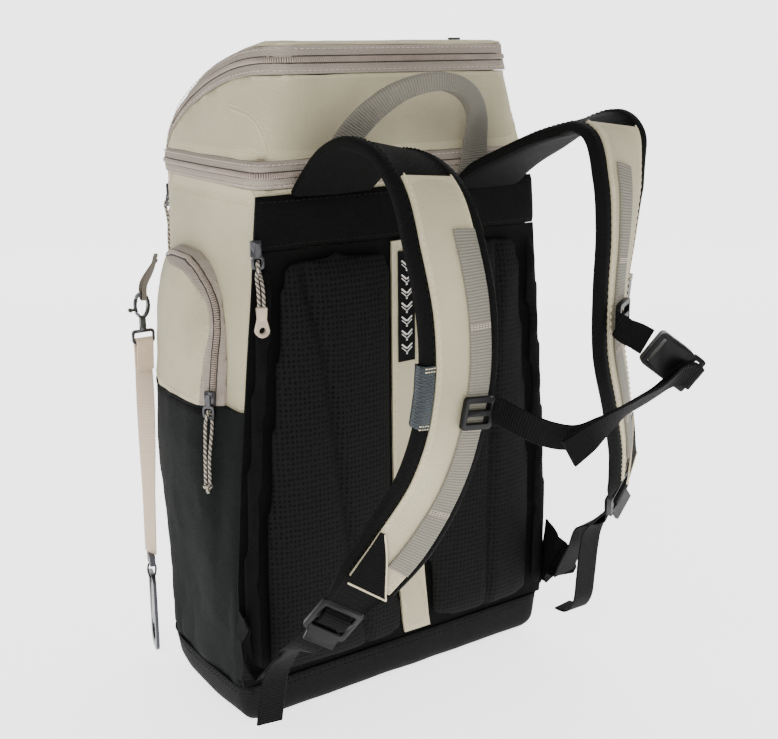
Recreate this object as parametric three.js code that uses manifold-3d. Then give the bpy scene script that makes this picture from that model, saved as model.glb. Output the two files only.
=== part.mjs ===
// A cooler backpack: an insulated tub in a sewn boot, a hooded lid with two long zips, side
// pockets, a padded back, two shoulder straps with a chest strap, and a lanyard on a snap hook.
// Millimetres. +Z is up, -Y is the side that the straps are on, +X is to the right seen from there.
// The origin is the centre of the flat underside.
import * as THREE from "three";
import { mergeVertices } from "three/addons/utils/BufferGeometryUtils.js";
import Module from "manifold-3d";

const wasm = await Module();
wasm.setup();

// Overall sizes
const BASE_WIDTH = 292; // widest, low on the sides
const DEPTH = 168; // back to front at the main zip
const BODY_HEIGHT = 400; // floor to the main zip
const MAIN_TAPE = 19; // main zip, edge to edge
const LID_RISE = 78; // main zip to the top of the lid
const BOOT_HEIGHT = 34;
const BASE_EDGE = 13; // rounding between the underside and the sides
const BACK_CORNER = 9;
const FRONT_CROWN = 4;
const SIDE_CROWN = 1.5;

// Walls, cloth and clearances
const GAP = 0.3;
const TUB_WALL = 9;
const BOOT_WALL = 2.5;
const LID_WALL = 4.5;
const CLOTH = 1.8;
const WEBBING = 1.6;
const TOP_TAPE = 19;
const TOP_EDGE = 2.5; // from the lid's flat top down to the top zip
const FRONT_EDGE = 6.5; // from the lid's front edge back to the top zip
const ZIP_PROUD = 3;

// Back of the pack
const BACKING = 1.6;
const BAND_HEIGHT = 38;
const BAND_THICK = 4;
const BAND_DROP = 4; // from the main zip down to the band
const PAD_THICK = 8;
const PAD_CROWN = 4;
const ROLL_WIDTH = 17;
const ROLL_THICK = 7;
const STRIP_WIDTH = 25;
const LABEL_WIDTH = 15;
const LABEL_HEIGHT = 84;
const LABEL_THICK = 0.9;

// Side pockets
const POCKET_DEPTH = 15;
const POCKET_FLOOR = 245; // where the stretch cloth ends and the zipped pocket starts
const POCKET_HEIGHT = 104;
const POCKET_BACK = 25; // from the back plane to the pocket's rear edge
const POCKET_FRONT = 163;
const SIDE_TAPE = 13.5;
const STRETCH_START = 1.5;
const STRETCH_END = 190;

// Shoulder straps
const STRAP_WIDTH = 58;
const STRAP_THICK = 8;
const STRAP_REACH = 157; // how far the straps stand off the back
const STRAP_ROOT = 396; // height where a strap leaves the back
const STRAP_SPREAD = 146; // half of the base width, which the strap ends reach
const OUTER_BINDING = 8;
const INNER_BINDING = 9;
const LADDER_WIDTH = 16;
const EDGE_LOOP_WIDTH = 9;

// Webbing, buckles and the carrying handle
const LOWER_WEBBING = 21;
const CHEST_WEBBING = 18;
const LOCK_WIDTH = 32;
const LOCK_LENGTH = 28;
const LOCK_THICK = 3.6;
const LOCK_BAR = 5;
const SLIDER_WIDTH = 24;
const SLIDER_LENGTH = 21;
const SLIDER_THICK = 3.4;
const BUCKLE_WIDTH = 25;
const BUCKLE_THICK = 9;
const SOCKET_LENGTH = 26;
const PLUG_BASE = 9;
const HANDLE_SPAN = 124;
const HANDLE_RISE = 73;
const HANDLE_REACH = 36;
const HANDLE_WIDTH = 25;

// Zip pulls and the lanyard
const CORD = 3;
const PULL_WIDTH = 10;
const PULL_LENGTH = 21;
const PULL_THICK = 4.5;
const TOP_PULL_LENGTH = 20;
const RING_WIDTH = 13;
const RING_HEIGHT = 21;
const RING_WIRE = 2.2;
const CLASP_THICK = 3.2;
const GATE_WIDTH = 2.2;
const LANYARD_WIDTH = 14;
const LANYARD_LENGTH = 192;
const OPENER_LENGTH = 68;
const OPENER_WIDTH = 25;
const OPENER_THICK = 2.6;

// Steps of round work
const CORNER_STEPS = 4;
const CORD_SIDES = 5;

const backPlane = -DEPTH / 2;
const lidBase = BODY_HEIGHT + MAIN_TAPE;
const lidFoot = lidBase + GAP;
const panelFace = backPlane - GAP - BACKING;

const paint = (color, roughness, metalness = 0) =>
  new THREE.MeshStandardMaterial({ color, roughness, metalness });
const tan = paint(0xb5ab93, 0.75);
const tape = paint(0xada197, 0.8);
const black = paint(0x1c1d1c, 0.9);
const darkGrey = paint(0x2c2d2c, 0.85);
const mesh = paint(0x191a19, 0.95);
const greyWebbing = paint(0xa09c90, 0.85);
const plastic = paint(0x151515, 0.45);
const reflective = paint(0x50606a, 0.4);
const steel = paint(0x55575a, 0.35, 0.9);
const gunmetal = paint(0x2a2b2d, 0.35, 0.8);
const moulded = paint(0xa89c8c, 0.6);
const blush = paint(0xc4ae9a, 0.8);
const flecked = paint(0x9b9484, 0.85);

const pack = new THREE.Group();
const at = (x, y, z) => new THREE.Vector3(x, y, z);
const mix = THREE.MathUtils.lerp;

function add(name, geometry, material) {
  geometry.computeVertexNormals();
  const made = new THREE.Mesh(geometry, material);
  made.name = name;
  pack.add(made);
  return made;
}

// Closed bodies

function closed(points, faces) {
  let volume = 0;
  for (const [a, b, c] of faces) {
    volume += points[a].dot(at(0, 0, 0).crossVectors(points[b], points[c]));
  }
  const turned = volume < 0 ? faces.map(([a, b, c]) => [a, c, b]) : faces;
  const geometry = new THREE.BufferGeometry().setFromPoints(points);
  geometry.setIndex(turned.flat());
  return geometry;
}

// Skins a row of rings with the same number of points. The ends are closed by a fan round their
// middle, or, where a ring is a thin band that runs out and back, by a strip across it. The first
// few faces round a ring can be split along their other diagonal.
function loft(rings, { cyclic = false, cap = "fan", turned = 0 } = {}) {
  const count = rings[0].length;
  const points = rings.flat();
  const faces = [];
  const spans = cyclic ? rings.length : rings.length - 1;
  for (let r = 0; r < spans; r++) {
    const near = r * count;
    const far = ((r + 1) % rings.length) * count;
    for (let i = 0; i < count; i++) {
      const j = (i + 1) % count;
      if (i < turned) faces.push([near + i, near + j, far + i], [near + j, far + j, far + i]);
      else faces.push([near + i, near + j, far + j], [near + i, far + j, far + i]);
    }
  }
  if (!cyclic) {
    closeEnd(points, faces, 0, count, cap, true);
    closeEnd(points, faces, (rings.length - 1) * count, count, cap, false);
  }
  return closed(points, faces);
}

function closeEnd(points, faces, first, count, cap, reversed) {
  const face = (a, b, c) => faces.push(reversed ? [a, c, b] : [a, b, c]);
  if (cap === "strip") {
    for (let i = 0; i < count / 2 - 1; i++) {
      const back = first + count - 1 - i;
      face(first + i, first + i + 1, back - 1);
      face(first + i, back - 1, back);
    }
    return;
  }
  const middle = at(0, 0, 0);
  for (let i = 0; i < count; i++) {
    middle.addScaledVector(points[first + i], 1 / count);
  }
  points.push(middle);
  for (let i = 0; i < count; i++) {
    face(first + i, first + ((i + 1) % count), points.length - 1);
  }
}

function toSolid(geometry) {
  const bare = geometry.clone();
  bare.deleteAttribute("normal");
  bare.deleteAttribute("uv");
  const merged = mergeVertices(bare, 1e-4);
  return new wasm.Manifold(
    new wasm.Mesh({
      numProp: 3,
      vertProperties: merged.attributes.position.array,
      triVerts: new Uint32Array(merged.index.array),
    }),
  );
}

function toGeometry(solid) {
  const made = solid.getMesh();
  const geometry = new THREE.BufferGeometry();
  geometry.setAttribute("position", new THREE.BufferAttribute(made.vertProperties, 3));
  geometry.setIndex(new THREE.BufferAttribute(made.triVerts, 1));
  return geometry;
}

// A cut keeps the largest body that it leaves.
function cut(geometry, ...tools) {
  const left = tools.reduce((solid, tool) => solid.subtract(toSolid(tool)), toSolid(geometry));
  return toGeometry(left.decompose().sort((a, b) => b.volume() - a.volume())[0]);
}
const keep = (geometry, tool) => toGeometry(toSolid(geometry).intersect(toSolid(tool)));
const join = (first, ...rest) =>
  toGeometry(rest.reduce((solid, other) => solid.add(toSolid(other)), toSolid(first)));

// A side view, with its x along Y and its y along Z, pushed through the pack's whole width or
// from one side to another.
function acrossPack(shape, from = -BASE_WIDTH, to = BASE_WIDTH) {
  const geometry = new THREE.ExtrudeGeometry(shape, {
    depth: to - from,
    bevelEnabled: false,
    curveSegments: 7,
  });
  const turn = new THREE.Matrix4().makeBasis(at(0, 1, 0), at(0, 0, 1), at(1, 0, 0));
  return geometry.applyMatrix4(turn.setPosition(from, 0, 0));
}

// The body's form

// Heights are shares of the body's height, widths of half the base width, and the rest of the
// depth.
const BODY_ROWS = [
  { height: 0, width: 0.955, depth: 0.9, corner: 0.33 },
  { height: 0.1, width: 0.992, depth: 0.927, corner: 0.345 },
  { height: 0.29, width: 1, depth: 0.942, corner: 0.345 },
  { height: 0.52, width: 0.955, depth: 0.962, corner: 0.32 },
  { height: 0.72, width: 0.9, depth: 0.978, corner: 0.29 },
  { height: 0.87, width: 0.86, depth: 0.99, corner: 0.26 },
  { height: 1, width: 0.83, depth: 1, corner: 0.24 },
];

function along(rows, key, value, column) {
  let next = rows.findIndex((row) => row[key] >= value);
  if (next < 0) next = rows.length - 1;
  if (next === 0) return rows[0][column];
  const low = rows[next - 1];
  const high = rows[next];
  const share = Math.min(1, (value - low[key]) / (high[key] - low[key]));
  return mix(low[column], high[column], share);
}

function bodyAt(z) {
  const share = Math.min(1, Math.max(0, z / BODY_HEIGHT));
  return {
    half: (along(BODY_ROWS, "height", share, "width") * BASE_WIDTH) / 2,
    back: backPlane,
    front: backPlane + along(BODY_ROWS, "height", share, "depth") * DEPTH,
    frontCorner: along(BODY_ROWS, "height", share, "corner") * DEPTH,
    backCorner: BACK_CORNER,
    crown: FRONT_CROWN,
  };
}

// A rounded rectangle seen from above, with its front and sides a little crowned.
function outline(form, z, grow = 0) {
  const half = form.half + grow;
  const back = form.back - grow;
  const front = form.front + grow;
  const frontCorner = Math.max(1, form.frontCorner + grow);
  const backCorner = Math.max(1, form.backCorner + grow);
  const corners = [
    { x: half - frontCorner, y: front - frontCorner, radius: frontCorner },
    { x: frontCorner - half, y: front - frontCorner, radius: frontCorner },
    { x: backCorner - half, y: back + backCorner, radius: backCorner },
    { x: half - backCorner, y: back + backCorner, radius: backCorner },
  ];
  const swells = [form.crown, SIDE_CROWN, 0, SIDE_CROWN];
  const spans = [2, 1, 0, 1];
  const ring = [];
  corners.forEach((corner, index) => {
    for (let i = 0; i <= CORNER_STEPS; i++) {
      const angle = ((index + i / CORNER_STEPS) * Math.PI) / 2;
      ring.push(
        at(corner.x + corner.radius * Math.cos(angle), corner.y + corner.radius * Math.sin(angle), z),
      );
    }
    const start = ring[ring.length - 1];
    const next = corners[(index + 1) % corners.length];
    const facing = ((index + 1) * Math.PI) / 2;
    const out = at(Math.cos(facing), Math.sin(facing), 0);
    const end = at(next.x, next.y, z).addScaledVector(out, next.radius);
    for (let i = 1; i <= spans[index]; i++) {
      const share = i / (spans[index] + 1);
      const swell = swells[index] * 4 * share * (1 - share);
      ring.push(start.clone().lerp(end, share).addScaledVector(out, swell));
    }
  });
  return ring;
}

// The rings of a rounded lower edge, from the flat underside up to where the wall is upright.
function edgeRings(bottom, radius, grow) {
  return [0, 30, 60].map((degrees) => {
    const angle = THREE.MathUtils.degToRad(degrees);
    const z = bottom + radius * (1 - Math.cos(angle));
    return outline(bodyAt(z), z, grow - radius * (1 - Math.sin(angle)));
  });
}

function wallRings(from, to, grow) {
  const heights = BODY_ROWS.map((row) => row.height * BODY_HEIGHT);
  const inside = heights.filter((z) => z > from + 1 && z < to - 1);
  return [from, ...inside, to].map((z) => outline(bodyAt(z), z, grow));
}

function bodyShell() {
  const floor = BOOT_WALL + GAP;
  const radius = BASE_EDGE - floor;
  const rim = BODY_HEIGHT - GAP;
  const outer = [...edgeRings(floor, radius, 0), ...wallRings(floor + radius, rim, 0)];
  const inner = wallRings(floor + TUB_WALL, rim, -TUB_WALL);
  return loft([...outer, ...inner.reverse()]);
}

function baseBoot() {
  const grow = BOOT_WALL + GAP;
  const outer = [...edgeRings(0, BASE_EDGE, grow), ...wallRings(BASE_EDGE, BOOT_HEIGHT, grow)];
  const radius = BASE_EDGE - BOOT_WALL;
  const inner = [
    ...edgeRings(BOOT_WALL, radius, GAP),
    ...wallRings(BASE_EDGE, BOOT_HEIGHT, GAP),
  ];
  return loft([...outer, ...inner.reverse()]);
}

function mainZip() {
  const form = bodyAt(BODY_HEIGHT);
  const ring = (share, grow) => outline(form, BODY_HEIGHT + share * MAIN_TAPE, grow);
  return loft(
    [
      ring(0, 0.5),
      ring(0.25, ZIP_PROUD),
      ring(0.5, ZIP_PROUD * 0.8),
      ring(0.75, ZIP_PROUD),
      ring(1, 0.5),
      ring(1, -LID_WALL),
      ring(0, -LID_WALL),
    ],
    { cyclic: true },
  );
}

// The lid's form

// Seen from the side the lid is a quarter round that is upright at the back and runs down to the
// main zip at the front. Rises are shares of the lid's rise, widths of its width at the zip.
const LID_ROWS = [
  { rise: 0, width: 1, corner: 0.24, back: 0 },
  { rise: 0.14, width: 0.975, corner: 0.2, back: 0.003 },
  { rise: 0.32, width: 0.945, corner: 0.165, back: 0.006 },
  { rise: 0.52, width: 0.91, corner: 0.13, back: 0.01 },
  { rise: 0.7, width: 0.88, corner: 0.1, back: 0.014 },
  { rise: 0.84, width: 0.856, corner: 0.08, back: 0.018 },
  { rise: 0.94, width: 0.836, corner: 0.065, back: 0.022 },
  { rise: 0.985, width: 0.815, corner: 0.055, back: 0.032 },
  { rise: 1, width: 0.78, corner: 0.05, back: 0.055 },
];
const LID_BACK_CORNER = 20;
const lidReach = (rise) => Math.pow(Math.max(0, 1 - Math.pow(rise, 1.39)), 0.455);

function lidRing(row, grow) {
  const reach = Math.max(lidReach(row.rise), 0.2);
  const form = {
    half: ((BODY_ROWS.at(-1).width * BASE_WIDTH) / 2) * row.width,
    back: backPlane + row.back * DEPTH,
    front: backPlane + reach * DEPTH,
    frontCorner: row.corner * DEPTH * Math.min(1, reach * 2),
    backCorner: Math.min(LID_BACK_CORNER, reach * DEPTH * 0.3),
    crown: FRONT_CROWN * reach,
  };
  return outline(form, lidFoot + row.rise * (LID_RISE + grow), grow);
}

function lidShell(grow) {
  const outer = LID_ROWS.map((row) => lidRing(row, grow)).reverse();
  const inner = LID_ROWS.map((row) => lidRing(row, grow - LID_WALL));
  return loft([...outer, ...inner]);
}

// What lies under a line that follows the lid's side view, set distances inside its front and top.
function underLidLine(front, top) {
  const low = lidFoot - MAIN_TAPE;
  const rearmost = backPlane - DEPTH / 4;
  const shape = new THREE.Shape();
  shape.moveTo(rearmost, low);
  shape.lineTo(backPlane + DEPTH - front, low);
  const steps = 8;
  for (let i = 0; i <= steps; i++) {
    const rise = Math.sin(((i / steps) * Math.PI) / 2);
    shape.lineTo(backPlane + lidReach(rise) * (DEPTH - front), lidFoot + rise * (LID_RISE - top));
  }
  shape.lineTo(rearmost, lidFoot + LID_RISE - top);
  return acrossPack(shape);
}

const overTape = (grow) => underLidLine(FRONT_EDGE - grow, TOP_EDGE - grow);
const underTape = (grow) => underLidLine(FRONT_EDGE + TOP_TAPE + grow, TOP_EDGE + TOP_TAPE + grow);
const lidHood = () => keep(lidShell(0), underTape(GAP));
const topZip = () => keep(cut(lidShell(1), underTape(0)), overTape(0));
const lidTop = () => cut(lidShell(0), overTape(GAP));

// The back

// A padded piece on the back: a row for each height, with its left and right edges.
function backPad(rows, face, thick, crown) {
  const last = rows.length - 1;
  const rings = rows.map(({ z, left, right }, index) => {
    const full = index === 0 || index === last ? 0.3 : 1;
    const deep = thick * full;
    const edge = Math.min(thick * 0.8, (right - left) / 4);
    const middle = (left + right) / 2;
    return [
      at(left, face, z),
      at(right, face, z),
      at(right, face - deep * 0.55, z),
      at(right - edge, face - deep, z),
      at(middle, face - deep - crown * full, z),
      at(left + edge, face - deep, z),
      at(left, face - deep * 0.55, z),
    ];
  });
  return loft(rings);
}

const bandTop = BODY_HEIGHT - BAND_DROP;
const bandLow = bandTop - BAND_HEIGHT;
const PANEL_INSET = -1;
const panelHalf = (z) => bodyAt(z).half - PANEL_INSET;
const PANEL_SHARES = [0, 0.03, 0.25, 0.5, 0.75, 0.94, 1];

function panelRows(low, high, edges) {
  return PANEL_SHARES.map((share) => {
    const z = mix(low, high, share);
    return { z, ...edges(z, share) };
  });
}

function backPanel() {
  const rows = panelRows(BOOT_HEIGHT + 2 * GAP, bandLow - GAP, (z) => ({
    left: -panelHalf(z),
    right: panelHalf(z),
  }));
  const rings = rows.map(({ z, left, right }) => [
    at(left, backPlane - GAP, z),
    at(right, backPlane - GAP, z),
    at(right, panelFace, z),
    at(left, panelFace, z),
  ]);
  return loft(rings, { cap: "strip" });
}

function backBand() {
  const rows = [0, 0.12, 0.88, 1].map((share) => {
    const z = mix(bandLow, bandTop, share);
    return { z, left: -panelHalf(z), right: panelHalf(z) };
  });
  return backPad(rows, backPlane - GAP, BAND_THICK - 0.6, 0.6);
}

const padLow = BOOT_HEIGHT + 4;
const padHigh = bandLow - 2;

// The middle strip stands upright and slants a little to the right at its foot.
const STRIP_ROWS = [
  { height: 0, shift: 0.52 },
  { height: 0.14, shift: 0.2 },
  { height: 0.42, shift: 0.06 },
  { height: 1, shift: 0 },
];
const stripMiddle = (z) =>
  along(STRIP_ROWS, "height", (z - padLow) / (padHigh - padLow), "shift") * STRIP_WIDTH;

function centreStrip() {
  const rings = panelRows(padLow, padHigh, (z) => ({ middle: stripMiddle(z) })).map(
    ({ z, middle }) => [
      at(middle - STRIP_WIDTH / 2, panelFace - GAP, z),
      at(middle + STRIP_WIDTH / 2, panelFace - GAP, z),
      at(middle + STRIP_WIDTH / 2, panelFace - GAP - CLOTH, z),
      at(middle - STRIP_WIDTH / 2, panelFace - GAP - CLOTH, z),
    ],
  );
  return loft(rings, { cap: "strip" });
}

function stripLabel() {
  const high = padHigh - 8;
  const face = panelFace - GAP - CLOTH - GAP;
  const rings = [high, high - LABEL_HEIGHT].map((z) => {
    const middle = stripMiddle(z);
    return [
      at(middle - LABEL_WIDTH / 2, face, z),
      at(middle + LABEL_WIDTH / 2, face, z),
      at(middle + LABEL_WIDTH / 2, face - LABEL_THICK, z),
      at(middle - LABEL_WIDTH / 2, face - LABEL_THICK, z),
    ];
  });
  return loft(rings, { cap: "strip" });
}

const PAD_GUTTER = 1; // between a pad and what lies beside it

function meshPad(side) {
  const rows = panelRows(padLow, padHigh, (z) => {
    const inner = side * stripMiddle(z) + STRIP_WIDTH / 2 + PAD_GUTTER;
    const outer = panelHalf(z) - ROLL_WIDTH - PAD_GUTTER;
    return side < 0 ? { left: -outer, right: -inner } : { left: inner, right: outer };
  });
  return backPad(rows, panelFace - GAP, PAD_THICK, PAD_CROWN);
}

function edgeRoll(side) {
  const rows = panelRows(padLow, padHigh, (z) => {
    const outer = panelHalf(z);
    const inner = outer - ROLL_WIDTH;
    return side < 0 ? { left: -outer, right: -inner } : { left: inner, right: outer };
  });
  return backPad(rows, panelFace - GAP, ROLL_THICK, ROLL_THICK / 3);
}

// Side pockets

// A point on the body's side, a run's length round from the back plane, and the way it faces.
function sidePoint(side, z, run, out) {
  const form = bodyAt(z);
  const straight = form.front - form.frontCorner - backPlane;
  if (run < BACK_CORNER) {
    const turn = run / BACK_CORNER - 1;
    const reach = BACK_CORNER + out;
    const x = form.half - BACK_CORNER + reach * Math.cos(turn);
    return at(side * x, backPlane + BACK_CORNER + reach * Math.sin(turn), z);
  }
  const angle = Math.max(0, run - straight) / form.frontCorner;
  const centre = at(form.half - form.frontCorner, form.front - form.frontCorner, z);
  const facing = at(Math.cos(angle), Math.sin(angle), 0);
  const point =
    run < straight
      ? at(form.half, backPlane + run, z)
      : centre.addScaledVector(facing, form.frontCorner);
  const swell = run < straight ? (SIDE_CROWN * 4 * run * (straight - run)) / straight ** 2 : 0;
  point.addScaledVector(facing, out + swell);
  return at(side * point.x, point.y, z);
}

// How far the pocket stands out, as shares of its depth, over shares of its run.
const BULGE_ROWS = [
  { run: 0, out: 0 },
  { run: 0.05, out: 0.5 },
  { run: 0.11, out: 0.92 },
  { run: 0.2, out: 1.05 },
  { run: 0.4, out: 1.08 },
  { run: 0.6, out: 0.88 },
  { run: 0.78, out: 0.52 },
  { run: 0.9, out: 0.26 },
  { run: 1, out: 0 },
];

// The zipped pocket narrows upwards like an arch, and its fullness falls off at the top.
const ARCH_ROWS = [
  { height: 0, back: 0, front: 1, out: 1 },
  { height: 0.3, back: 0.02, front: 0.99, out: 1.05 },
  { height: 0.55, back: 0.06, front: 0.96, out: 1.05 },
  { height: 0.75, back: 0.12, front: 0.9, out: 1 },
  { height: 0.87, back: 0.19, front: 0.82, out: 0.9 },
  { height: 0.95, back: 0.27, front: 0.73, out: 0.65 },
  { height: 1, back: 0.37, front: 0.62, out: 0.2 },
];

function pocketRing(side, row, base, trim) {
  const z = POCKET_FLOOR + row.height * POCKET_HEIGHT;
  const from = mix(POCKET_BACK, POCKET_FRONT, row.back) + trim;
  const to = mix(POCKET_BACK, POCKET_FRONT, row.front) - trim;
  const outer = BULGE_ROWS.map(({ run, out }) =>
    sidePoint(side, z, mix(from, to, run), GAP + CLOTH + out * row.out * POCKET_DEPTH - trim),
  );
  const inner = BULGE_ROWS.map(({ run }) => sidePoint(side, z, mix(from, to, run), base));
  return [...outer, ...inner.reverse()];
}

// The body with a gap round it, which soft pieces on its sides are cut to.
const bodyRoom = () => loft(wallRings(0, BODY_HEIGHT, GAP));

function pocketShell(side) {
  const outer = loft(
    ARCH_ROWS.map((row) => pocketRing(side, row, -2, 0)),
    { cap: "strip" },
  );
  const rows = ARCH_ROWS.slice(0, -1).map((row) => ({
    ...row,
    height: row.height === 0 ? -0.05 : row.height - CLOTH / POCKET_HEIGHT,
  }));
  const inner = loft(
    rows.map((row) => pocketRing(side, row, -4, CLOTH)),
    { cap: "strip" },
  );
  return cut(outer, inner, bodyRoom());
}

// The arch inside the zip tape, in side view.
function insideArch(inset) {
  const shape = new THREE.Shape();
  const low = POCKET_FLOOR - POCKET_HEIGHT / 4;
  const back = backPlane + POCKET_BACK + inset;
  const front = backPlane + DEPTH;
  const high = POCKET_FLOOR + POCKET_HEIGHT - inset * 0.8;
  const round = POCKET_HEIGHT * 0.42;
  shape.moveTo(back, low);
  shape.lineTo(front, low);
  shape.lineTo(front, high - round);
  shape.absarc(front - round, high - round, round, 0, Math.PI / 2, false);
  shape.lineTo(back + round, high);
  shape.absarc(back + round, high - round, round, Math.PI / 2, Math.PI, false);
  shape.lineTo(back, low);
  return acrossPack(shape);
}

const sidePocket = (side) => keep(pocketShell(side), insideArch(SIDE_TAPE + GAP));
const sideZip = (side) => cut(pocketShell(side), insideArch(SIDE_TAPE));

// The stretch cloth below hugs the body and swells up to meet the zipped pocket.
const STRETCH_ROWS = [
  { height: 0, out: 0 },
  { height: 0.2, out: 0.02 },
  { height: 0.42, out: 0.2 },
  { height: 0.64, out: 0.6 },
  { height: 0.84, out: 0.92 },
  { height: 1, out: 1 },
];
const stretchLow = BOOT_HEIGHT + GAP;
const stretchHigh = POCKET_FLOOR - GAP;

function stretchRuns() {
  const pocket = BULGE_ROWS.map(({ run, out }) => ({
    run: mix(POCKET_BACK, POCKET_FRONT, run),
    out,
  }));
  const flat = (...places) => places.map((run) => ({ run, out: 0 }));
  const behind = flat(STRETCH_START, BACK_CORNER * 0.55, BACK_CORNER);
  const ahead = [0.35, 0.7, 1].map((share) => mix(POCKET_FRONT, STRETCH_END, share));
  return [...behind, ...pocket, ...flat(...ahead)];
}

function stretchRing(side, row, runs, base, skin) {
  const z = mix(stretchLow, stretchHigh, row.height);
  const outer = runs.map(({ run, out }) =>
    sidePoint(side, z, run, GAP + skin + out * row.out * POCKET_DEPTH),
  );
  const inner = runs.map(({ run }) => sidePoint(side, z, run, base));
  return [...outer, ...inner.reverse()];
}

function stretchPanel(side) {
  const runs = stretchRuns();
  const outer = loft(
    STRETCH_ROWS.map((row) => stretchRing(side, row, runs, -2, CLOTH)),
    { cap: "strip" },
  );
  const full = runs.filter(({ out }) => out > 0.4);
  const rows = STRETCH_ROWS.filter(({ out }) => out >= 0.6);
  const inner = loft(
    [...rows, { height: 1.02, out: 1 }].map((row) => stretchRing(side, row, full, -4, -CLOTH)),
    { cap: "strip" },
  );
  return cut(outer, inner, bodyRoom());
}

// Ribbons

// The frames of a way through space. Each stop gives its place, a hint of the way across, half the
// width and the thickness.
function frames(stops, steps) {
  const places = stops.map((stop) => stop.place);
  const curve = new THREE.CatmullRomCurve3(places, false, "centripetal");
  const made = [];
  for (let i = 0; i <= steps; i++) {
    const t = i / steps;
    const spot = t * (stops.length - 1);
    const low = Math.min(Math.floor(spot), stops.length - 2);
    const share = spot - low;
    const hint = stops[low].across.clone().lerp(stops[low + 1].across, share);
    const tangent = curve.getTangent(t);
    const across = hint.addScaledVector(tangent, -hint.dot(tangent)).normalize();
    made.push({
      centre: curve.getPoint(t),
      across,
      tangent,
      out: at(0, 0, 0).crossVectors(tangent, across).normalize(),
      half: mix(stops[low].half, stops[low + 1].half, share),
      thick: mix(stops[low].thick, stops[low + 1].thick, share),
    });
  }
  return made;
}

const spotOn = ({ centre, across, out }, a, n) =>
  centre.clone().addScaledVector(across, a).addScaledVector(out, n);

function flatRing(frame) {
  const { half, thick } = frame;
  const spots = [
    [-half, -thick / 2],
    [half, -thick / 2],
    [half, thick / 2],
    [-half, thick / 2],
  ];
  return spots.map(([a, n]) => spotOn(frame, a, n));
}

function roundRing(frame) {
  const { half, thick } = frame;
  const round = Math.min(half, thick / 2) * 0.6;
  const spots = [
    [-half + round, -thick / 2],
    [half - round, -thick / 2],
    [half, -thick / 2 + round],
    [half, thick / 2 - round],
    [half - round, thick / 2],
    [-half + round, thick / 2],
    [-half, thick / 2 - round],
    [-half, -thick / 2 + round],
  ];
  return spots.map(([a, n]) => spotOn(frame, a, n));
}

// A strip of webbing along a row of stops. Out is how far a stop stands off the back plane.
function webbing(rows, steps, width = LOWER_WEBBING, thick = WEBBING) {
  const stops = rows.map((row) => ({
    place: at(row.x, backPlane - row.out, row.z),
    across: at(...row.across).normalize(),
    half: ((row.wide ?? 1) * width) / 2,
    thick: (row.deep ?? 1) * thick,
  }));
  return loft(frames(stops, steps).map(flatRing), { cap: "strip" });
}

// Shoulder straps

// Each strap's way, from the back out over the shoulder and down. Side is a share of half the base
// width, out of the reach, height of the root's height, and half of half the strap's width. Yaw
// turns the outer edge towards the pack and bank lifts it, in degrees.
const LEFT_STRAP = [
  { side: 0.438, out: -0.03, height: 0.99, half: 1.12, yaw: 0, bank: 0 },
  { side: 0.445, out: 0.1, height: 1.032, half: 1.1, yaw: 0, bank: 3 },
  { side: 0.462, out: 0.25, height: 1.068, half: 1.06, yaw: 0, bank: 8 },
  { side: 0.474, out: 0.43, height: 1.086, half: 1.02, yaw: 0, bank: 12 },
  { side: 0.478, out: 0.62, height: 1.074, half: 1, yaw: 1, bank: 12 },
  { side: 0.483, out: 0.79, height: 1.026, half: 1, yaw: 4, bank: 9 },
  { side: 0.503, out: 0.91, height: 0.95, half: 1, yaw: 3, bank: 4 },
  { side: 0.499, out: 0.98, height: 0.859, half: 1, yaw: 0, bank: 0 },
  { side: 0.504, out: 1, height: 0.763, half: 1, yaw: -1, bank: 0 },
  { side: 0.537, out: 0.98, height: 0.662, half: 0.98, yaw: -1, bank: 0 },
  { side: 0.594, out: 0.93, height: 0.571, half: 0.94, yaw: 6, bank: 0 },
  { side: 0.702, out: 0.86, height: 0.482, half: 0.86, yaw: 20, bank: -2 },
  { side: 0.812, out: 0.777, height: 0.409, half: 0.72, yaw: 28, bank: -4 },
  { side: 0.872, out: 0.705, height: 0.361, half: 0.53, yaw: 30, bank: -6 },
];
const RIGHT_STRAP = [
  { side: 0.5, out: -0.03, height: 0.98, half: 1.12, yaw: 0, bank: 0 },
  { side: 0.505, out: 0.13, height: 1.028, half: 1.1, yaw: 0, bank: 2 },
  { side: 0.51, out: 0.34, height: 1.068, half: 1.06, yaw: 0, bank: 5 },
  { side: 0.51, out: 0.56, height: 1.106, half: 1.02, yaw: 5, bank: 8 },
  { side: 0.508, out: 0.74, height: 1.12, half: 1, yaw: 12, bank: 8 },
  { side: 0.475, out: 0.87, height: 1.098, half: 1, yaw: 15, bank: 6 },
  { side: 0.43, out: 0.955, height: 1.032, half: 1, yaw: 18, bank: 4 },
  { side: 0.401, out: 0.985, height: 0.949, half: 0.99, yaw: 24, bank: 2 },
  { side: 0.372, out: 0.995, height: 0.859, half: 0.99, yaw: 28, bank: 0 },
  { side: 0.386, out: 0.985, height: 0.763, half: 0.98, yaw: 31, bank: 0 },
  { side: 0.486, out: 0.95, height: 0.662, half: 0.95, yaw: 34, bank: -2 },
  { side: 0.594, out: 0.89, height: 0.576, half: 0.86, yaw: 36, bank: -4 },
  { side: 0.672, out: 0.83, height: 0.505, half: 0.72, yaw: 35, bank: -6 },
  { side: 0.75, out: 0.76, height: 0.455, half: 0.53, yaw: 28, bank: -8 },
];
const STRAP_STEPS = 25;
const strapFoot = backPlane - GAP - BAND_THICK - GAP;

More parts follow.
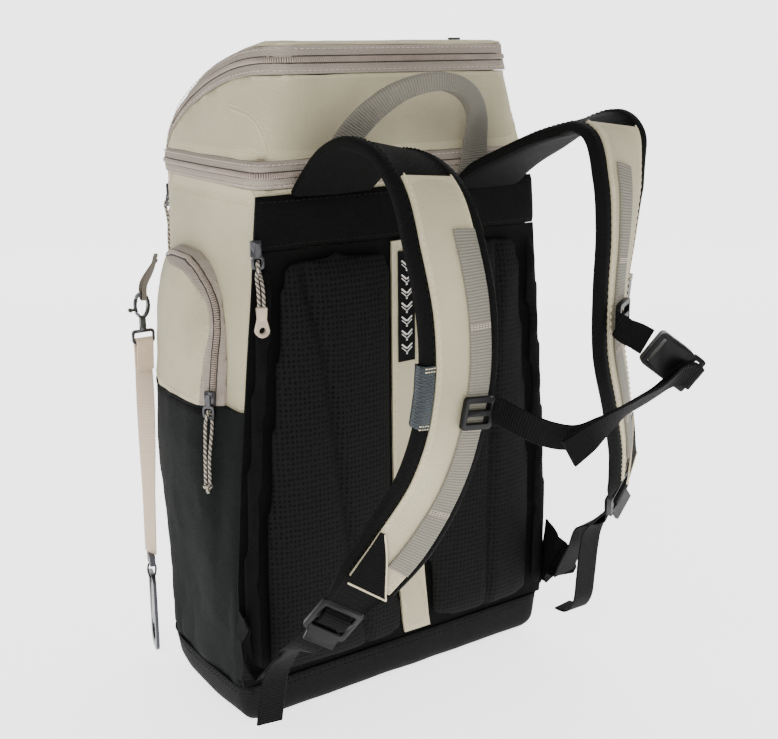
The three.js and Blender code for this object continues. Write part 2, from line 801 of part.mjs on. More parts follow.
function strapWay(side) {
  const rows = side < 0 ? LEFT_STRAP : RIGHT_STRAP;
  const stops = rows.map((row, index) => {
    const yaw = THREE.MathUtils.degToRad(row.yaw);
    const bank = THREE.MathUtils.degToRad(row.bank);
    const thin = index === 0 || index === rows.length - 1 ? 0.5 : 1;
    return {
      place: at(
        side * row.side * STRAP_SPREAD,
        strapFoot - row.out * STRAP_REACH,
        row.height * STRAP_ROOT,
      ),
      across: at(
        side * Math.cos(yaw) * Math.cos(bank),
        Math.sin(yaw) * Math.cos(bank),
        Math.sin(bank),
      ),
      half: (row.half * STRAP_WIDTH) / 2,
      thick: thin * STRAP_THICK,
    };
  });
  // Every face looks away from the pack, on the left strap too.
  return frames(stops, STRAP_STEPS).map((frame) => ({
    ...frame,
    inset: side < 0 ? LEFT_INSET : RIGHT_INSET,
    out: frame.out.multiplyScalar(side),
  }));
}

// How far the ladder webbing lies from the cover's inner edge.
const LEFT_INSET = 0.6;
const RIGHT_INSET = 9;

// The places across a strap where the cover and the ladder webbing have their edges. The pad has
// corners there too, so that all three bend alike.
function strapEdges({ half, inset }) {
  const share = Math.min(1, (2 * half) / STRAP_WIDTH);
  const inner = INNER_BINDING * share ** 2 - half;
  const outer = half - OUTER_BINDING * share;
  const low = inner + inset * share;
  const ladder = Math.min(LADDER_WIDTH, (outer - low) * 0.8);
  return [inner, low, low + ladder, outer];
}

function strapPad(side) {
  const rings = strapWay(side).map((frame) => {
    const { half, thick } = frame;
    const round = thick * 0.3;
    const top = thick / 2;
    const spots = [
      [-half + round, -top],
      [half - round, -top],
      [half, -top + round],
      [half, top - round],
      [half - round, top],
      ...strapEdges(frame)
        .reverse()
        .map((a) => [a, top]),
      [-half + round, top],
      [-half, top - round],
      [-half, -top + round],
    ];
    return spots.map(([a, n]) => spotOn(frame, a, n));
  });
  // The root ends flat against the band.
  const behind = new THREE.BoxGeometry(BASE_WIDTH, DEPTH, BODY_HEIGHT);
  behind.translate(0, strapFoot + DEPTH / 2, BODY_HEIGHT);
  return cut(loft(rings), behind);
}

// A layer of cloth or webbing on a stretch of a strap, between two of its edges.
function strapLayer(side, { from, to, edges, lift, thick }) {
  const rings = strapWay(side)
    .slice(from, to + 1)
    .map((frame) => {
      const low = frame.thick / 2 + lift;
      const places = strapEdges(frame).slice(edges[0], edges[1] + 1);
      const lower = places.map((a) => spotOn(frame, a, low));
      const upper = places.map((a) => spotOn(frame, a, low + thick));
      return [...lower, ...upper.reverse()];
    });
  return loft(rings, { cap: "strip", turned: edges[1] - edges[0] });
}

const COVER = { from: 9, to: 23, edges: [0, 3], lift: GAP, thick: CLOTH };
const LADDER = { from: 11, to: 22, edges: [1, 2], lift: GAP + CLOTH + GAP, thick: WEBBING };
const ladderFace = STRAP_THICK / 2 + LADDER.lift + WEBBING;

// A soft loop folded round the strap's outer edge.
function edgeLoop(side, place) {
  const rings = strapWay(side)
    .slice(place - 1, place + 2)
    .map((frame) => {
      const edge = frame.half;
      const deep = frame.thick / 2;
      const run = (offset) => [
        [edge - OUTER_BINDING + 1.5, deep + 0.6 + offset],
        [edge + 0.2, deep + 0.6 + offset],
        [edge + 1.2 + offset, deep * 0.5],
        [edge + 1.2 + offset, -deep * 0.5],
        [edge + 0.2, -deep - 0.6 - offset],
        [edge - EDGE_LOOP_WIDTH, -deep - 0.6 - offset],
      ];
      const profile = [...run(0), ...run(CLOTH * 0.7).reverse()];
      return profile.map(([a, n]) => spotOn(frame, a, n));
    });
  return loft(rings, { cap: "strip" });
}

// Hard pieces laid on a frame

// Puts a flat piece, drawn with y along the way, onto a frame with its face outwards.
function onFrame(geometry, { centre, tangent, out }, { shift = 0, along: slide = 0, lift = 0 } = {}) {
  const across = at(0, 0, 0).crossVectors(tangent, out).normalize();
  const face = at(0, 0, 0).crossVectors(across, tangent).normalize();
  const place = centre
    .clone()
    .addScaledVector(across, shift)
    .addScaledVector(tangent, slide)
    .addScaledVector(face, lift);
  const turn = new THREE.Matrix4().makeBasis(across, tangent, face);
  return geometry.applyMatrix4(turn.setPosition(place));
}

function roundedBox(shape, x, y, width, height, radius) {
  const left = x - width / 2 + radius;
  const right = x + width / 2 - radius;
  const low = y - height / 2 + radius;
  const high = y + height / 2 - radius;
  shape.moveTo(left, low - radius);
  shape.lineTo(right, low - radius);
  shape.absarc(right, low, radius, -Math.PI / 2, 0, false);
  shape.absarc(right, high, radius, 0, Math.PI / 2, false);
  shape.absarc(left, high, radius, Math.PI / 2, Math.PI, false);
  shape.absarc(left, low, radius, Math.PI, Math.PI * 1.5, false);
  return shape;
}

function plate(shape, thick, curveSegments = 1) {
  const extrude = { depth: thick, bevelEnabled: false, curveSegments };
  return new THREE.ExtrudeGeometry(shape, extrude).translate(0, 0, -thick / 2);
}

// A frame of three bars with two slots between them.
function slottedPlate(width, length, thick, bar) {
  const shape = roundedBox(new THREE.Shape(), 0, 0, width, length, bar * 0.6);
  const slot = (length - 3 * bar) / 2;
  for (const side of [-1, 1]) {
    const hole = roundedBox(new THREE.Path(), 0, (side * (bar + slot)) / 2, width - 2 * bar * 0.8, slot, 1);
    shape.holes.push(hole);
  }
  return plate(shape, thick);
}

const lockSlide = LOCK_LENGTH / 2 + 0.8;

function ladderLock(side) {
  const body = slottedPlate(LOCK_WIDTH, LOCK_LENGTH, LOCK_THICK, LOCK_BAR);
  const tab = new THREE.BoxGeometry(LOCK_WIDTH * 0.72, LOCK_LENGTH * 0.4, LOCK_THICK * 0.75);
  tab.translate(0, LOCK_LENGTH * 0.14, 0).rotateX(THREE.MathUtils.degToRad(28));
  tab.translate(0, LOCK_LENGTH / 2 - LOCK_BAR * 0.55, LOCK_THICK * 0.1);
  return onFrame(join(body, tab), strapWay(side).at(-1), { along: lockSlide });
}

// The lower webbing's way through the lock, along the strap and out of its face.
const LOCK_WAY = [
  { along: 1.3, out: -1.75 },
  { along: 0.43, out: -1.6 },
  { along: 0, out: -1.45 },
  { along: -0.19, out: -0.6 },
  { along: -0.15, out: 0.62 },
  { along: 0, out: 0.88 },
  { along: 0.15, out: 0.62 },
  { along: 0.2, out: -0.35 },
  { along: 0.3, out: -1 },
  { along: 0.6, out: -1.05 },
];

function lowerWebbing(side, start, tail) {
  const { centre, tangent, out, across } = strapWay(side).at(-1);
  const wide = { across: across.clone().multiplyScalar(side), half: LOWER_WEBBING / 2, thick: WEBBING };
  const stop = (row) => ({
    ...wide,
    place: at(row.x, backPlane - row.out, row.z),
    across: at(...row.across).normalize(),
  });
  const lock = LOCK_WAY.map((row) => ({
    ...wide,
    place: centre
      .clone()
      .addScaledVector(tangent, lockSlide + row.along * LOCK_LENGTH)
      .addScaledVector(out, row.out * LOCK_THICK),
  }));
  const stops = [...start.map(stop), ...lock, ...tail.map(stop)];
  return loft(frames(stops, (stops.length - 1) * 2).map(flatRing), { cap: "strip" });
}

const LEFT_START = [
  { x: -144, out: 37, z: 63, across: [1, 0.1, 0.2] },
  { x: -141.5, out: 48, z: 76, across: [1, 0.1, 0.2] },
  { x: -139, out: 61, z: 91, across: [1, 0.1, 0.2] },
];
const LEFT_TAIL = [
  { x: -140.5, out: 66, z: 92, across: [1, 0.1, 0.1] },
  { x: -142, out: 55, z: 79, across: [1, 0, 0] },
  { x: -144, out: 48.5, z: 66, across: [1, 0, 0] },
  { x: -146, out: 46, z: 48, across: [1, 0, -0.15] },
  { x: -148, out: 45, z: 29, across: [1, 0, -0.2] },
];
const RIGHT_START = [
  { x: 146, out: 31, z: 62, across: [1, 0, 0] },
  { x: 141, out: 42, z: 79, across: [1, 0, 0] },
  { x: 134.5, out: 58, z: 101, across: [1, 0, 0] },
  { x: 128.5, out: 72, z: 123, across: [1, 0, 0] },
];
const RIGHT_TAIL = [
  { x: 127, out: 82, z: 124, across: [1, 0, 0] },
  { x: 131, out: 74, z: 102, across: [1, 0, 0] },
  { x: 136, out: 67, z: 75, across: [1, 0, 0] },
  { x: 140, out: 60, z: 50, across: [1, 0, 0] },
  { x: 141, out: 50, z: 38, across: [1, 0, 0] },
  { x: 139, out: 38, z: 37, across: [1, 0, 0] },
];

// A gusset from the corner seam out to the webbing, which turns it on edge.
const WING_ROWS = [
  { out: 0.4, z: 70, turn: 0, wide: 3 },
  { out: 7, z: 69, turn: 0, wide: 2.7 },
  { out: 13, z: 67, turn: 0, wide: 2.3 },
  { out: 24, z: 64, turn: 42, wide: 1.5 },
];

function anchorWing(side, tip) {
  const seam = bodyAt(WING_ROWS[0].z).half - PANEL_INSET + GAP + WEBBING / 2 + 0.8;
  const rows = WING_ROWS.map(({ out, z, turn, wide }) => {
    const angle = THREE.MathUtils.degToRad(turn);
    return { x: side * seam, out, z, across: [side * Math.sin(angle), 0, Math.cos(angle)], wide };
  });
  return webbing([...rows, { ...tip, across: [side, 0, 0.2], wide: 1 }], 8);
}

// The chest strap

// The frame of a slider on the ladder webbing. Place counts the strap's steps.
function sliderFrame(side, place) {
  const way = strapWay(side);
  const [a, b] = way.slice(Math.floor(place));
  const blend = (key) => a[key].clone().lerp(b[key], place % 1);
  const [across, tangent, out] = ["across", "tangent", "out"].map((key) => blend(key).normalize());
  const [, low, high] = strapEdges(a);
  const centre = blend("centre");
  centre.addScaledVector(across, (low + high) / 2);
  centre.addScaledVector(out, ladderFace + GAP + SLIDER_THICK / 2);
  return { centre, across, tangent, out };
}

function sternumSlider(side, place) {
  const body = slottedPlate(SLIDER_WIDTH, SLIDER_LENGTH, SLIDER_THICK, SLIDER_LENGTH * 0.17);
  return onFrame(body, sliderFrame(side, place));
}

// The chest webbing starts level at its slider's inner edge.
function sliderRows(side, place) {
  const { centre, across, tangent, out } = sliderFrame(side, place);
  const edge = SLIDER_WIDTH / 2 + GAP;
  return [edge, edge + 5].map((reach, index) => {
    const spot = centre.clone().addScaledVector(across, -reach).addScaledVector(out, index);
    return { x: spot.x, out: backPlane - spot.y, z: spot.z, across: tangent.clone().negate().toArray() };
  });
}

const LEFT_PLACE = 16.5;
const RIGHT_PLACE = 16.3;

// The buckle hangs over the bend of the slack chest strap, and its two halves stay together.
const BUCKLE_FROM = at(51.5, backPlane - 200.5, 310);
const BUCKLE_TO = at(69.5, backPlane - 214.5, 293);

function buckleFrame() {
  const tangent = BUCKLE_TO.clone().sub(BUCKLE_FROM).normalize();
  const across = at(0, 0, 1).addScaledVector(tangent, -tangent.z).normalize();
  const out = at(0, 0, 0).crossVectors(tangent, across).normalize();
  return { centre: BUCKLE_FROM.clone(), tangent, across, out };
}

const SOCKET_FROM = 1;
const plugHole = SOCKET_FROM + SOCKET_LENGTH + GAP + PLUG_BASE * 0.51;

// The chest webbing's way round the plug's end bar: along the buckle from the middle of the
// plug's hole, out of the buckle's face, and across it.
const PLUG_WAY = [
  { slide: -8, lift: 9.5, across: -4 },
  { slide: -3, lift: 5, across: 0 },
  { slide: -0.4, lift: 1, across: 0 },
  { slide: 0, lift: -2.4, across: 0 },
  { slide: 2.6, lift: -4.6, across: 0 },
  { slide: 5.6, lift: -3, across: 0 },
  { slide: 6.2, lift: 0.5, across: 0 },
  { slide: 4.6, lift: 5.4, across: 0 },
  { slide: -2, lift: 9, across: 0 },
  { slide: -7, lift: 13, across: -4 },
];

const LEFT_CHEST = [
  ...sliderRows(-1, LEFT_PLACE),
  { x: -41.5, out: 186, z: 269.5, across: [0, 0, 1] },
  { x: -32, out: 199, z: 264.5, across: [0, -0.1, 1] },
  { x: -19.5, out: 207.5, z: 262.5, across: [0, -0.25, 1] },
  { x: -5, out: 211, z: 267, across: [0, -0.5, 1] },
  { x: 15.5, out: 213, z: 275, across: [0, -1, 1] },
  { x: 38, out: 214, z: 281.5, across: [0, -0.9, 1] },
];
const LEFT_CHEST_TAIL = [
  { x: 38, out: 221, z: 284.5, across: [0, -0.9, 1] },
  { x: 14.2, out: 221, z: 278.5, across: [0, -0.8, 1] },
  { x: -3.6, out: 218.5, z: 269.5, across: [0, -0.3, 1] },
  { x: -15.4, out: 216, z: 262, across: [0.2, 0, 1] },
  { x: -28.2, out: 213.5, z: 255, across: [0.4, 0, 1], wide: 1.1, deep: 2 },
];
const RIGHT_CHEST = [
  ...sliderRows(1, RIGHT_PLACE),
  { x: 44, out: 187, z: 316.5, across: [0, 0, 1] },
  { x: 46.5, out: 193.5, z: 314.5, across: [0.1, 0, 1] },
  { x: 50.6, out: 199.5, z: 311, across: [0.5, -0.3, 0.8] },
];

function leftChestWebbing() {
  const { centre, tangent, across, out } = buckleFrame();
  const round = PLUG_WAY.map((row) => {
    const place = centre
      .clone()
      .addScaledVector(tangent, plugHole + row.slide)
      .addScaledVector(out, row.lift)
      .addScaledVector(across, row.across);
    return { x: place.x, out: backPlane - place.y, z: place.z, across: across.toArray(), wide: 0.93 };
  });
  return webbing([...LEFT_CHEST, ...round, ...LEFT_CHEST_TAIL], 44, CHEST_WEBBING);
}

function buckleSocket() {
  const middle = SOCKET_LENGTH / 2;
  const shape = roundedBox(new THREE.Shape(), 0, middle, BUCKLE_WIDTH, SOCKET_LENGTH, 3);
  const body = plate(shape, BUCKLE_THICK, 2);
  const room = BUCKLE_THICK - 3.6;
  const inner = new THREE.BoxGeometry(BUCKLE_WIDTH - 5, SOCKET_LENGTH, room);
  const windows = new THREE.BoxGeometry(BUCKLE_WIDTH * 2, SOCKET_LENGTH * 0.32, room);
  const slot = new THREE.BoxGeometry(CHEST_WEBBING, 2.2, BUCKLE_THICK * 2);
  const parts = [
    inner.translate(0, middle + 7, 0),
    windows.translate(0, SOCKET_LENGTH * 0.56, 0),
    slot.translate(0, 4, 0),
  ];
  return onFrame(cut(body, ...parts), buckleFrame(), { along: SOCKET_FROM });
}

function bucklePlug() {
  const shape = roundedBox(new THREE.Shape(), 0, PLUG_BASE / 2, BUCKLE_WIDTH, PLUG_BASE, 1.5);
  const hole = roundedBox(new THREE.Path(), 0, PLUG_BASE * 0.51, CHEST_WEBBING + 1, 4.4, 0.8);
  shape.holes.push(hole);
  const base = plate(shape, BUCKLE_THICK * 0.55);
  const reach = SOCKET_LENGTH * 0.62;
  const prong = new THREE.BoxGeometry(5, reach, 3).translate(0, 1 - reach / 2, 0);
  const arms = [-1, 1].map((side) => {
    const arm = new THREE.BoxGeometry(2.6, reach, 3.4);
    return arm.translate(side * (BUCKLE_WIDTH / 2 - 5.2), 1 - reach / 2, 0);
  });
  const start = SOCKET_FROM + SOCKET_LENGTH + GAP;
  return onFrame(join(base, prong, ...arms), buckleFrame(), { along: start });
}

// The carrying handle

// Right and left are shares of half the span, rise of the handle's rise, and out of its reach.
const HANDLE_ROWS = [
  { right: 1, left: 1, rise: 0, out: 0.035, wide: 1, deep: 1, turn: 0 },
  { right: 1, left: 1, rise: 0.06, out: 0.105, wide: 1, deep: 1, turn: 0 },
  { right: 1, left: 1, rise: 0.18, out: 0.14, wide: 1, deep: 1, turn: 0 },
  { right: 0.985, left: 0.93, rise: 0.36, out: 0.2, wide: 0.95, deep: 1, turn: 8 },
  { right: 0.93, left: 0.81, rise: 0.56, out: 0.36, wide: 0.86, deep: 1.8, turn: 22 },
  { right: 0.76, left: 0.61, rise: 0.77, out: 0.62, wide: 0.66, deep: 4.6, turn: 48 },
  { right: 0.46, left: 0.34, rise: 0.93, out: 0.86, wide: 0.54, deep: 6.8, turn: 72 },
  { right: 0.06, left: 0, rise: 1, out: 1, wide: 0.52, deep: 7, turn: 90 },
];

function grabHandle() {
  const low = BODY_HEIGHT - BAND_DROP + 1.2;
  const stop = (row, side, share) => {
    const turn = THREE.MathUtils.degToRad(row.turn);
    const x = (side * share * HANDLE_SPAN) / 2;
    return {
      place: at(x, backPlane - row.out * HANDLE_REACH, low + row.rise * HANDLE_RISE),
      across: at(side * Math.cos(turn), 0, Math.sin(turn)),
      half: (row.wide * HANDLE_WIDTH) / 2,
      thick: row.deep * WEBBING,
    };
  };
  const right = HANDLE_ROWS.map((row) => stop(row, 1, row.right));
  const left = HANDLE_ROWS.slice(0, -1).map((row) => stop(row, -1, row.left));
  return loft(frames([...right, ...left.reverse()], 24).map(roundRing));
}

// Zip pulls

// A pull hangs from a place on a zip and faces a way. Down is negative in its own drawing.
function hang(geometry, { place, facing }) {
  const out = at(...facing).normalize();
  const across = at(0, 0, 0).crossVectors(at(0, 0, 1), out).normalize();
  const up = at(0, 0, 0).crossVectors(out, across);
  const turn = new THREE.Matrix4().makeBasis(across, up, out);
  return geometry.applyMatrix4(turn.setPosition(place));
}

const RING_DROP = 9;
const RING_HOLE = 5.6;

function zipSlider(spot) {
  const body = new THREE.BoxGeometry(7.5, 11, 3).translate(0, 0, 2);
  const bridge = new THREE.BoxGeometry(3, 9, spot.lift - 2).translate(0, -0.5, spot.lift / 2 + 1.9);
  const shape = roundedBox(new THREE.Shape(), 0, -RING_DROP, 9, 9.6, 2.5);
  const hole = roundedBox(new THREE.Path(), 0, -RING_DROP, RING_HOLE, RING_HOLE, 1.6);
  shape.holes.push(hole);
  const ring = plate(shape, 1.5).translate(0, 0, spot.lift);
  return hang(join(body, bridge, ring), spot);
}

// A doubled cord that runs down, with its bend through the slider's ring. Stand is how much
// further off the cloth its lower end hangs.
function pullCord(spot, { drop, stand, knot }) {
  const apart = CORD * 0.55;
  const lift = CORD / 2 + 1.5;
  const high = spot.lift;
  const low = high + stand;
  const points = [
    at(-apart, -drop, low),
    at(-apart, -drop * 0.7, mix(high, low, 0.85)),
    at(-apart, -RING_DROP - 8, high + lift * 0.8),
    at(-0.5, -RING_DROP - 3.6, high + lift),
    at(0, -RING_DROP + 0.9, high),
    at(0.5, -RING_DROP - 3.6, high - lift),
    at(apart, -RING_DROP - 8, high - lift * 0.5),
    at(apart, -drop * 0.7, mix(high, low, 0.85)),
    at(apart, -drop, low),
  ];
  const curve = new THREE.CatmullRomCurve3(points, false, "centripetal");
  const tube = tubeAlong(curve, 16, CORD * 0.4);
  if (!knot) return hang(tube, spot);
  const ball = new THREE.IcosahedronGeometry(CORD * 1.25, 1).scale(1, 1.2, 1);
  return hang(join(tube, ball.translate(0, -drop - CORD * 0.8, low)), spot);
}

function tubeAlong(curve, steps, radius) {
  const { normals, binormals } = curve.computeFrenetFrames(steps, false);
  const rings = [];
  for (let i = 0; i <= steps; i++) {
    const centre = curve.getPointAt(i / steps);
    const ring = [];
    for (let k = 0; k < CORD_SIDES; k++) {
      const angle = (k / CORD_SIDES) * Math.PI * 2;
      ring.push(
        centre
          .clone()
          .addScaledVector(normals[i], radius * Math.cos(angle))
          .addScaledVector(binormals[i], radius * Math.sin(angle)),
      );
    }
    rings.push(ring);
  }
  return loft(rings);
}

// A moulded grip: a short neck that widens to a round eye with a hole.
function pullEnd(spot, { drop, stand }) {
  const round = PULL_WIDTH / 2;
  const low = -drop - GAP - PULL_LENGTH + round;
  const shape = new THREE.Shape();
  shape.moveTo(-round * 0.72, -drop - GAP);
  shape.lineTo(-round * 0.62, low + round * 1.5);
  shape.lineTo(-round, low);
  shape.absarc(0, low, round, Math.PI, Math.PI * 2, false);
  shape.lineTo(round * 0.62, low + round * 1.5);
  shape.lineTo(round * 0.72, -drop - GAP);
  const hole = new THREE.Path();
  hole.absarc(0, low, round * 0.52, 0, Math.PI * 2, false);
  shape.holes.push(hole);
  return hang(plate(shape, PULL_THICK, 5).translate(0, 0, spot.lift + stand), spot);
}

// The lanyard

const lanyardX = -149;
const lanyardY = backPlane + 137;
const claspHigh = 311;
const ringCentre = claspHigh - RING_HEIGHT / 2;

// A bar bent along an arc of an ellipse, in side view, of one width and thickness.
function arcBar(from, to, steps, wide, reachX, reachZ) {
  const shape = new THREE.Shape();
  const spot = (degrees, offset) => {
    const angle = THREE.MathUtils.degToRad(degrees);
    return [Math.cos(angle) * (reachX + offset), Math.sin(angle) * (reachZ + offset)];
  };
  for (let i = 0; i <= steps; i++) {
    const [x, y] = spot(mix(from, to, i / steps), wide / 2);
    if (i === 0) shape.moveTo(x, y);
    else shape.lineTo(x, y);
  }
  for (let i = steps; i >= 0; i--) {
    shape.lineTo(...spot(mix(from, to, i / steps), -wide / 2));
  }
  return shape;
}

const ringReachX = (RING_WIDTH - RING_WIRE) / 2;
const ringReachZ = (RING_HEIGHT - RING_WIRE) / 2;
// The gate fills the ring's outer side between two level cuts, as shares of the ring's reach.
const GATE_TOP = 0.62;
const GATE_FOOT = -0.53;
const GATE_SLIT = 0.4;

function gateRoom(spare) {
  const high = GATE_TOP * ringReachZ + spare;
  const low = GATE_FOOT * ringReachZ - spare;
  const room = new THREE.BoxGeometry(RING_WIDTH, high - low, CLASP_THICK * 2);
  return room.translate(-RING_WIDTH / 2 - RING_WIRE / 2, (high + low) / 2, 0);
}

// Stands a drawing upright at a place, facing the back's way.
function upright(geometry, x, y, z) {
  return geometry.rotateX(Math.PI / 2).translate(x, y, z);
}

function claspHook() {
  const ring = plate(arcBar(184, 532, 18, RING_WIRE, ringReachX, ringReachZ), CLASP_THICK);
  const hook = cut(ring, gateRoom(GATE_SLIT));
  const neck = new THREE.BoxGeometry(4.6, 8, CLASP_THICK).translate(0, -RING_HEIGHT / 2 - 2.5, 0);
  const swivel = new THREE.CylinderGeometry(2.9, 2.9, 3, 8).translate(0, -RING_HEIGHT / 2 - 7.8, 0);
  const eye = roundedBox(new THREE.Shape(), 0, -RING_HEIGHT / 2 - 14, LANYARD_WIDTH + 4.4, 11, 2.5);
  eye.holes.push(roundedBox(new THREE.Path(), 0, -RING_HEIGHT / 2 - 14.2, LANYARD_WIDTH + 1.2, 6.8, 1.4));
  const whole = join(hook, neck, swivel, plate(eye, 2.2));
  return upright(whole, lanyardX, lanyardY, ringCentre);
}

function claspGate() {
  const arc = plate(arcBar(128, 226, 9, GATE_WIDTH, ringReachX, ringReachZ), CLASP_THICK * 0.8);
  const bar = keep(arc, gateRoom(0));
  const knob = new THREE.CylinderGeometry(1.7, 1.7, CLASP_THICK * 0.8, 8).rotateX(Math.PI / 2);
  const arm = new THREE.BoxGeometry(4, 1.8, CLASP_THICK * 0.8);
  const angle = Math.PI - Math.asin(GATE_FOOT + 0.22);
  const x = Math.cos(angle) * ringReachX;
  const z = Math.sin(angle) * ringReachZ;
  const whole = join(bar, arm.translate(x - 2, z, 0), knob.translate(x - 4.4, z, 0));
  return upright(whole, lanyardX, lanyardY, ringCentre);
}

function lanyardLoop() {
  const low = ringCentre + RING_HEIGHT * 0.19;
  const x = lanyardX + 1.6;
  const out = backPlane - lanyardY;
  return webbing(
    [
      { x: x + 13, out: out - 1, z: claspHigh + 28, across: [0.6, -0.8, 0.3] },
      { x: x + 7, out: out + 3, z: claspHigh + 17, across: [0.8, -0.5, 0.3] },
      { x: x + 0.5, out: out + 3.4, z: claspHigh + 5, across: [1, 0, 0] },
      { x, out: out + 2.9, z: low + 3, across: [1, 0, 0] },
      { x, out: out + 1.9, z: low + 0.3, across: [1, 0, 0] },
      { x, out, z: low, across: [1, 0, 0] },
      { x, out: out - 1.9, z: low + 0.3, across: [1, 0, 0] },
      { x, out: out - 2.9, z: low + 3, across: [1, 0, 0] },
      { x: x + 0.5, out: out - 3.4, z: claspHigh + 5, across: [1, 0, 0] },
      { x: x + 8, out: out - 4.5, z: claspHigh + 15, across: [0.8, -0.5, 0.3] },
      { x: x + 15, out: out - 5, z: claspHigh + 23, across: [0.6, -0.8, 0.3] },
    ],
    22,
    3.6,
    1,
  );
}

const eyeBar = ringCentre - RING_HEIGHT / 2 - 18.55;
const LANYARD_TURN = 15;
const LANYARD_SWAY = 14;
const lanyardAcross = (share) => {
  const angle = THREE.MathUtils.degToRad(mix(0, 90 - LANYARD_TURN, share));
  return [Math.cos(angle), -Math.sin(angle), 0];
};
const lanyardOut = (z) => backPlane - lanyardY - (LANYARD_SWAY * (eyeBar - z)) / eyeBar;
const strapLow = eyeBar - LANYARD_LENGTH + 12;

function lanyardStrap() {
  const row = (z, shift, turn) => ({
    x: lanyardX,
    out: lanyardOut(z) + shift,
    z,
    across: lanyardAcross(turn),
  });
  return webbing(
    [
      row(eyeBar - 22, 2.6, 0),
      row(eyeBar - 8, 2.7, 0),
      row(eyeBar + 0.9, 2.6, 0),
      row(eyeBar + 3.2, 0, 0),
      row(eyeBar + 0.9, -2.6, 0),
      row(eyeBar - 8, -2.4, 0),
      row(eyeBar - 26, -1.2, 0.1),
      row(mix(eyeBar, strapLow, 0.4), 0, 0.5),
      row(mix(eyeBar, strapLow, 0.7), 0, 0.9),
      row(strapLow, 0, 1),
    ],
    27,
    LANYARD_WIDTH,
    1.2,
  );
}

// The joiner clamps the lanyard's end and carries the opener on a wire loop.
function lanyardFrame(z) {
  const [x, out] = lanyardAcross(1);
  const across = at(x, -out, 0);
  return {
    centre: at(lanyardX, backPlane - lanyardOut(z), z),
    tangent: at(0, 0, -1),
    across,
    out: at(0, 0, 0).crossVectors(across, at(0, 0, -1)),
  };
}

const joinerTop = strapLow - 2 * GAP;
const JOINER_HEIGHT = 9;
const LOOP_DROP = 15;

function lanyardJoiner() {
  const clamp = new THREE.BoxGeometry(LANYARD_WIDTH + 1.5, JOINER_HEIGHT, 4.4);
  clamp.translate(0, JOINER_HEIGHT / 2, 0);
  const curve = new THREE.CatmullRomCurve3([
    at(0, JOINER_HEIGHT - 1, 1.5),
    at(0, JOINER_HEIGHT + 3, 3.2),
    at(0, JOINER_HEIGHT + LOOP_DROP * 0.7, 2.4),
    at(0, JOINER_HEIGHT + LOOP_DROP, 0),
    at(0, JOINER_HEIGHT + LOOP_DROP * 0.7, -2.4),
    at(0, JOINER_HEIGHT + 3, -3.2),
    at(0, JOINER_HEIGHT - 1, -1.5),
  ]);
  const loop = tubeAlong(curve, 12, 0.9);
  return onFrame(join(clamp, loop), lanyardFrame(joinerTop));
}

// A flat steel opener: a hanging eye at the top and a mouth with a lifting lip near the foot.
function bottleOpener() {
  const top = JOINER_HEIGHT + 7.5;
  const shape = roundedBox(
    new THREE.Shape(),
    0,
    top + OPENER_LENGTH / 2,
    OPENER_WIDTH,
    OPENER_LENGTH,
    OPENER_WIDTH * 0.3,
  );
  shape.holes.push(roundedBox(new THREE.Path(), 0, top + 6.2, 8, 6, 2));
  const mouth = new THREE.Path();
  const high = top + OPENER_LENGTH - 25;
  const low = top + OPENER_LENGTH - 7;
  mouth.moveTo(-7, high + 3);
  mouth.lineTo(-3, high);
  mouth.lineTo(-2, high + 3.5);
  mouth.lineTo(2, high + 3.5);
  mouth.lineTo(3, high);
  mouth.lineTo(7, high + 3);
  mouth.lineTo(7.5, low - 5);
  mouth.lineTo(4, low);
  mouth.lineTo(-4, low);
  mouth.lineTo(-7.5, low - 5);
  mouth.closePath();
  shape.holes.push(mouth);
  return onFrame(plate(shape, OPENER_THICK, 3), lanyardFrame(joinerTop));
}

// The top zip's pull lies on the lid, past the end of its zip.
function topPull() {
  const shape = roundedBox(new THREE.Shape(), 0, 0, TOP_PULL_LENGTH, PULL_WIDTH * 0.6, 2);
  const tab = plate(shape, 2, 2);
  const body = new THREE.BoxGeometry(TOP_PULL_LENGTH * 0.4, PULL_WIDTH * 0.55, 4);
  const whole = join(tab, body.translate(TOP_PULL_LENGTH * 0.3, 0, 1));
  return whole.translate(74, backPlane + 44, lidFoot + LID_RISE - 1.3);
}

// Where the pulls hang

const SPOTS = {
  back: {
    place: at(-125.5, backPlane - BAND_THICK + 0.8, bandLow + 4),
    facing: [-0.25, -1, 0],
    lift: 7,
  },
  front: { place: sidePoint(-1, 385, 163, 0.2), facing: [-0.75, 0.66, 0], lift: 5 },
  left: { place: sidePoint(-1, POCKET_FLOOR + 6, 31, 9.3), facing: [-0.8, -0.6, 0], lift: 5 },
  right: { place: sidePoint(1, POCKET_FLOOR + 6, 31, 9.3), facing: [0.8, -0.6, 0], lift: 5 },
};
const BACK_PULL = { drop: 38, stand: 6.5 };
const FRONT_PULL = { drop: 50, stand: 0.5 };
const SIDE_PULL = { drop: 62, stand: 6, knot: true };

pack.name = "cooler_backpack";
add("body_shell", bodyShell(), tan);
add("base_boot", baseBoot(), darkGrey);
add("main_zip", mainZip(), tape);
add("lid_hood", lidHood(), tan);
add("top_zip", topZip(), tape);
add("lid_top", lidTop(), tan);
add("back_panel", backPanel(), black);
add("back_band", backBand(), black);
add("centre_strip", centreStrip(), tan);
add("strip_label", stripLabel(), black);
add("grab_handle", grabHandle(), greyWebbing);

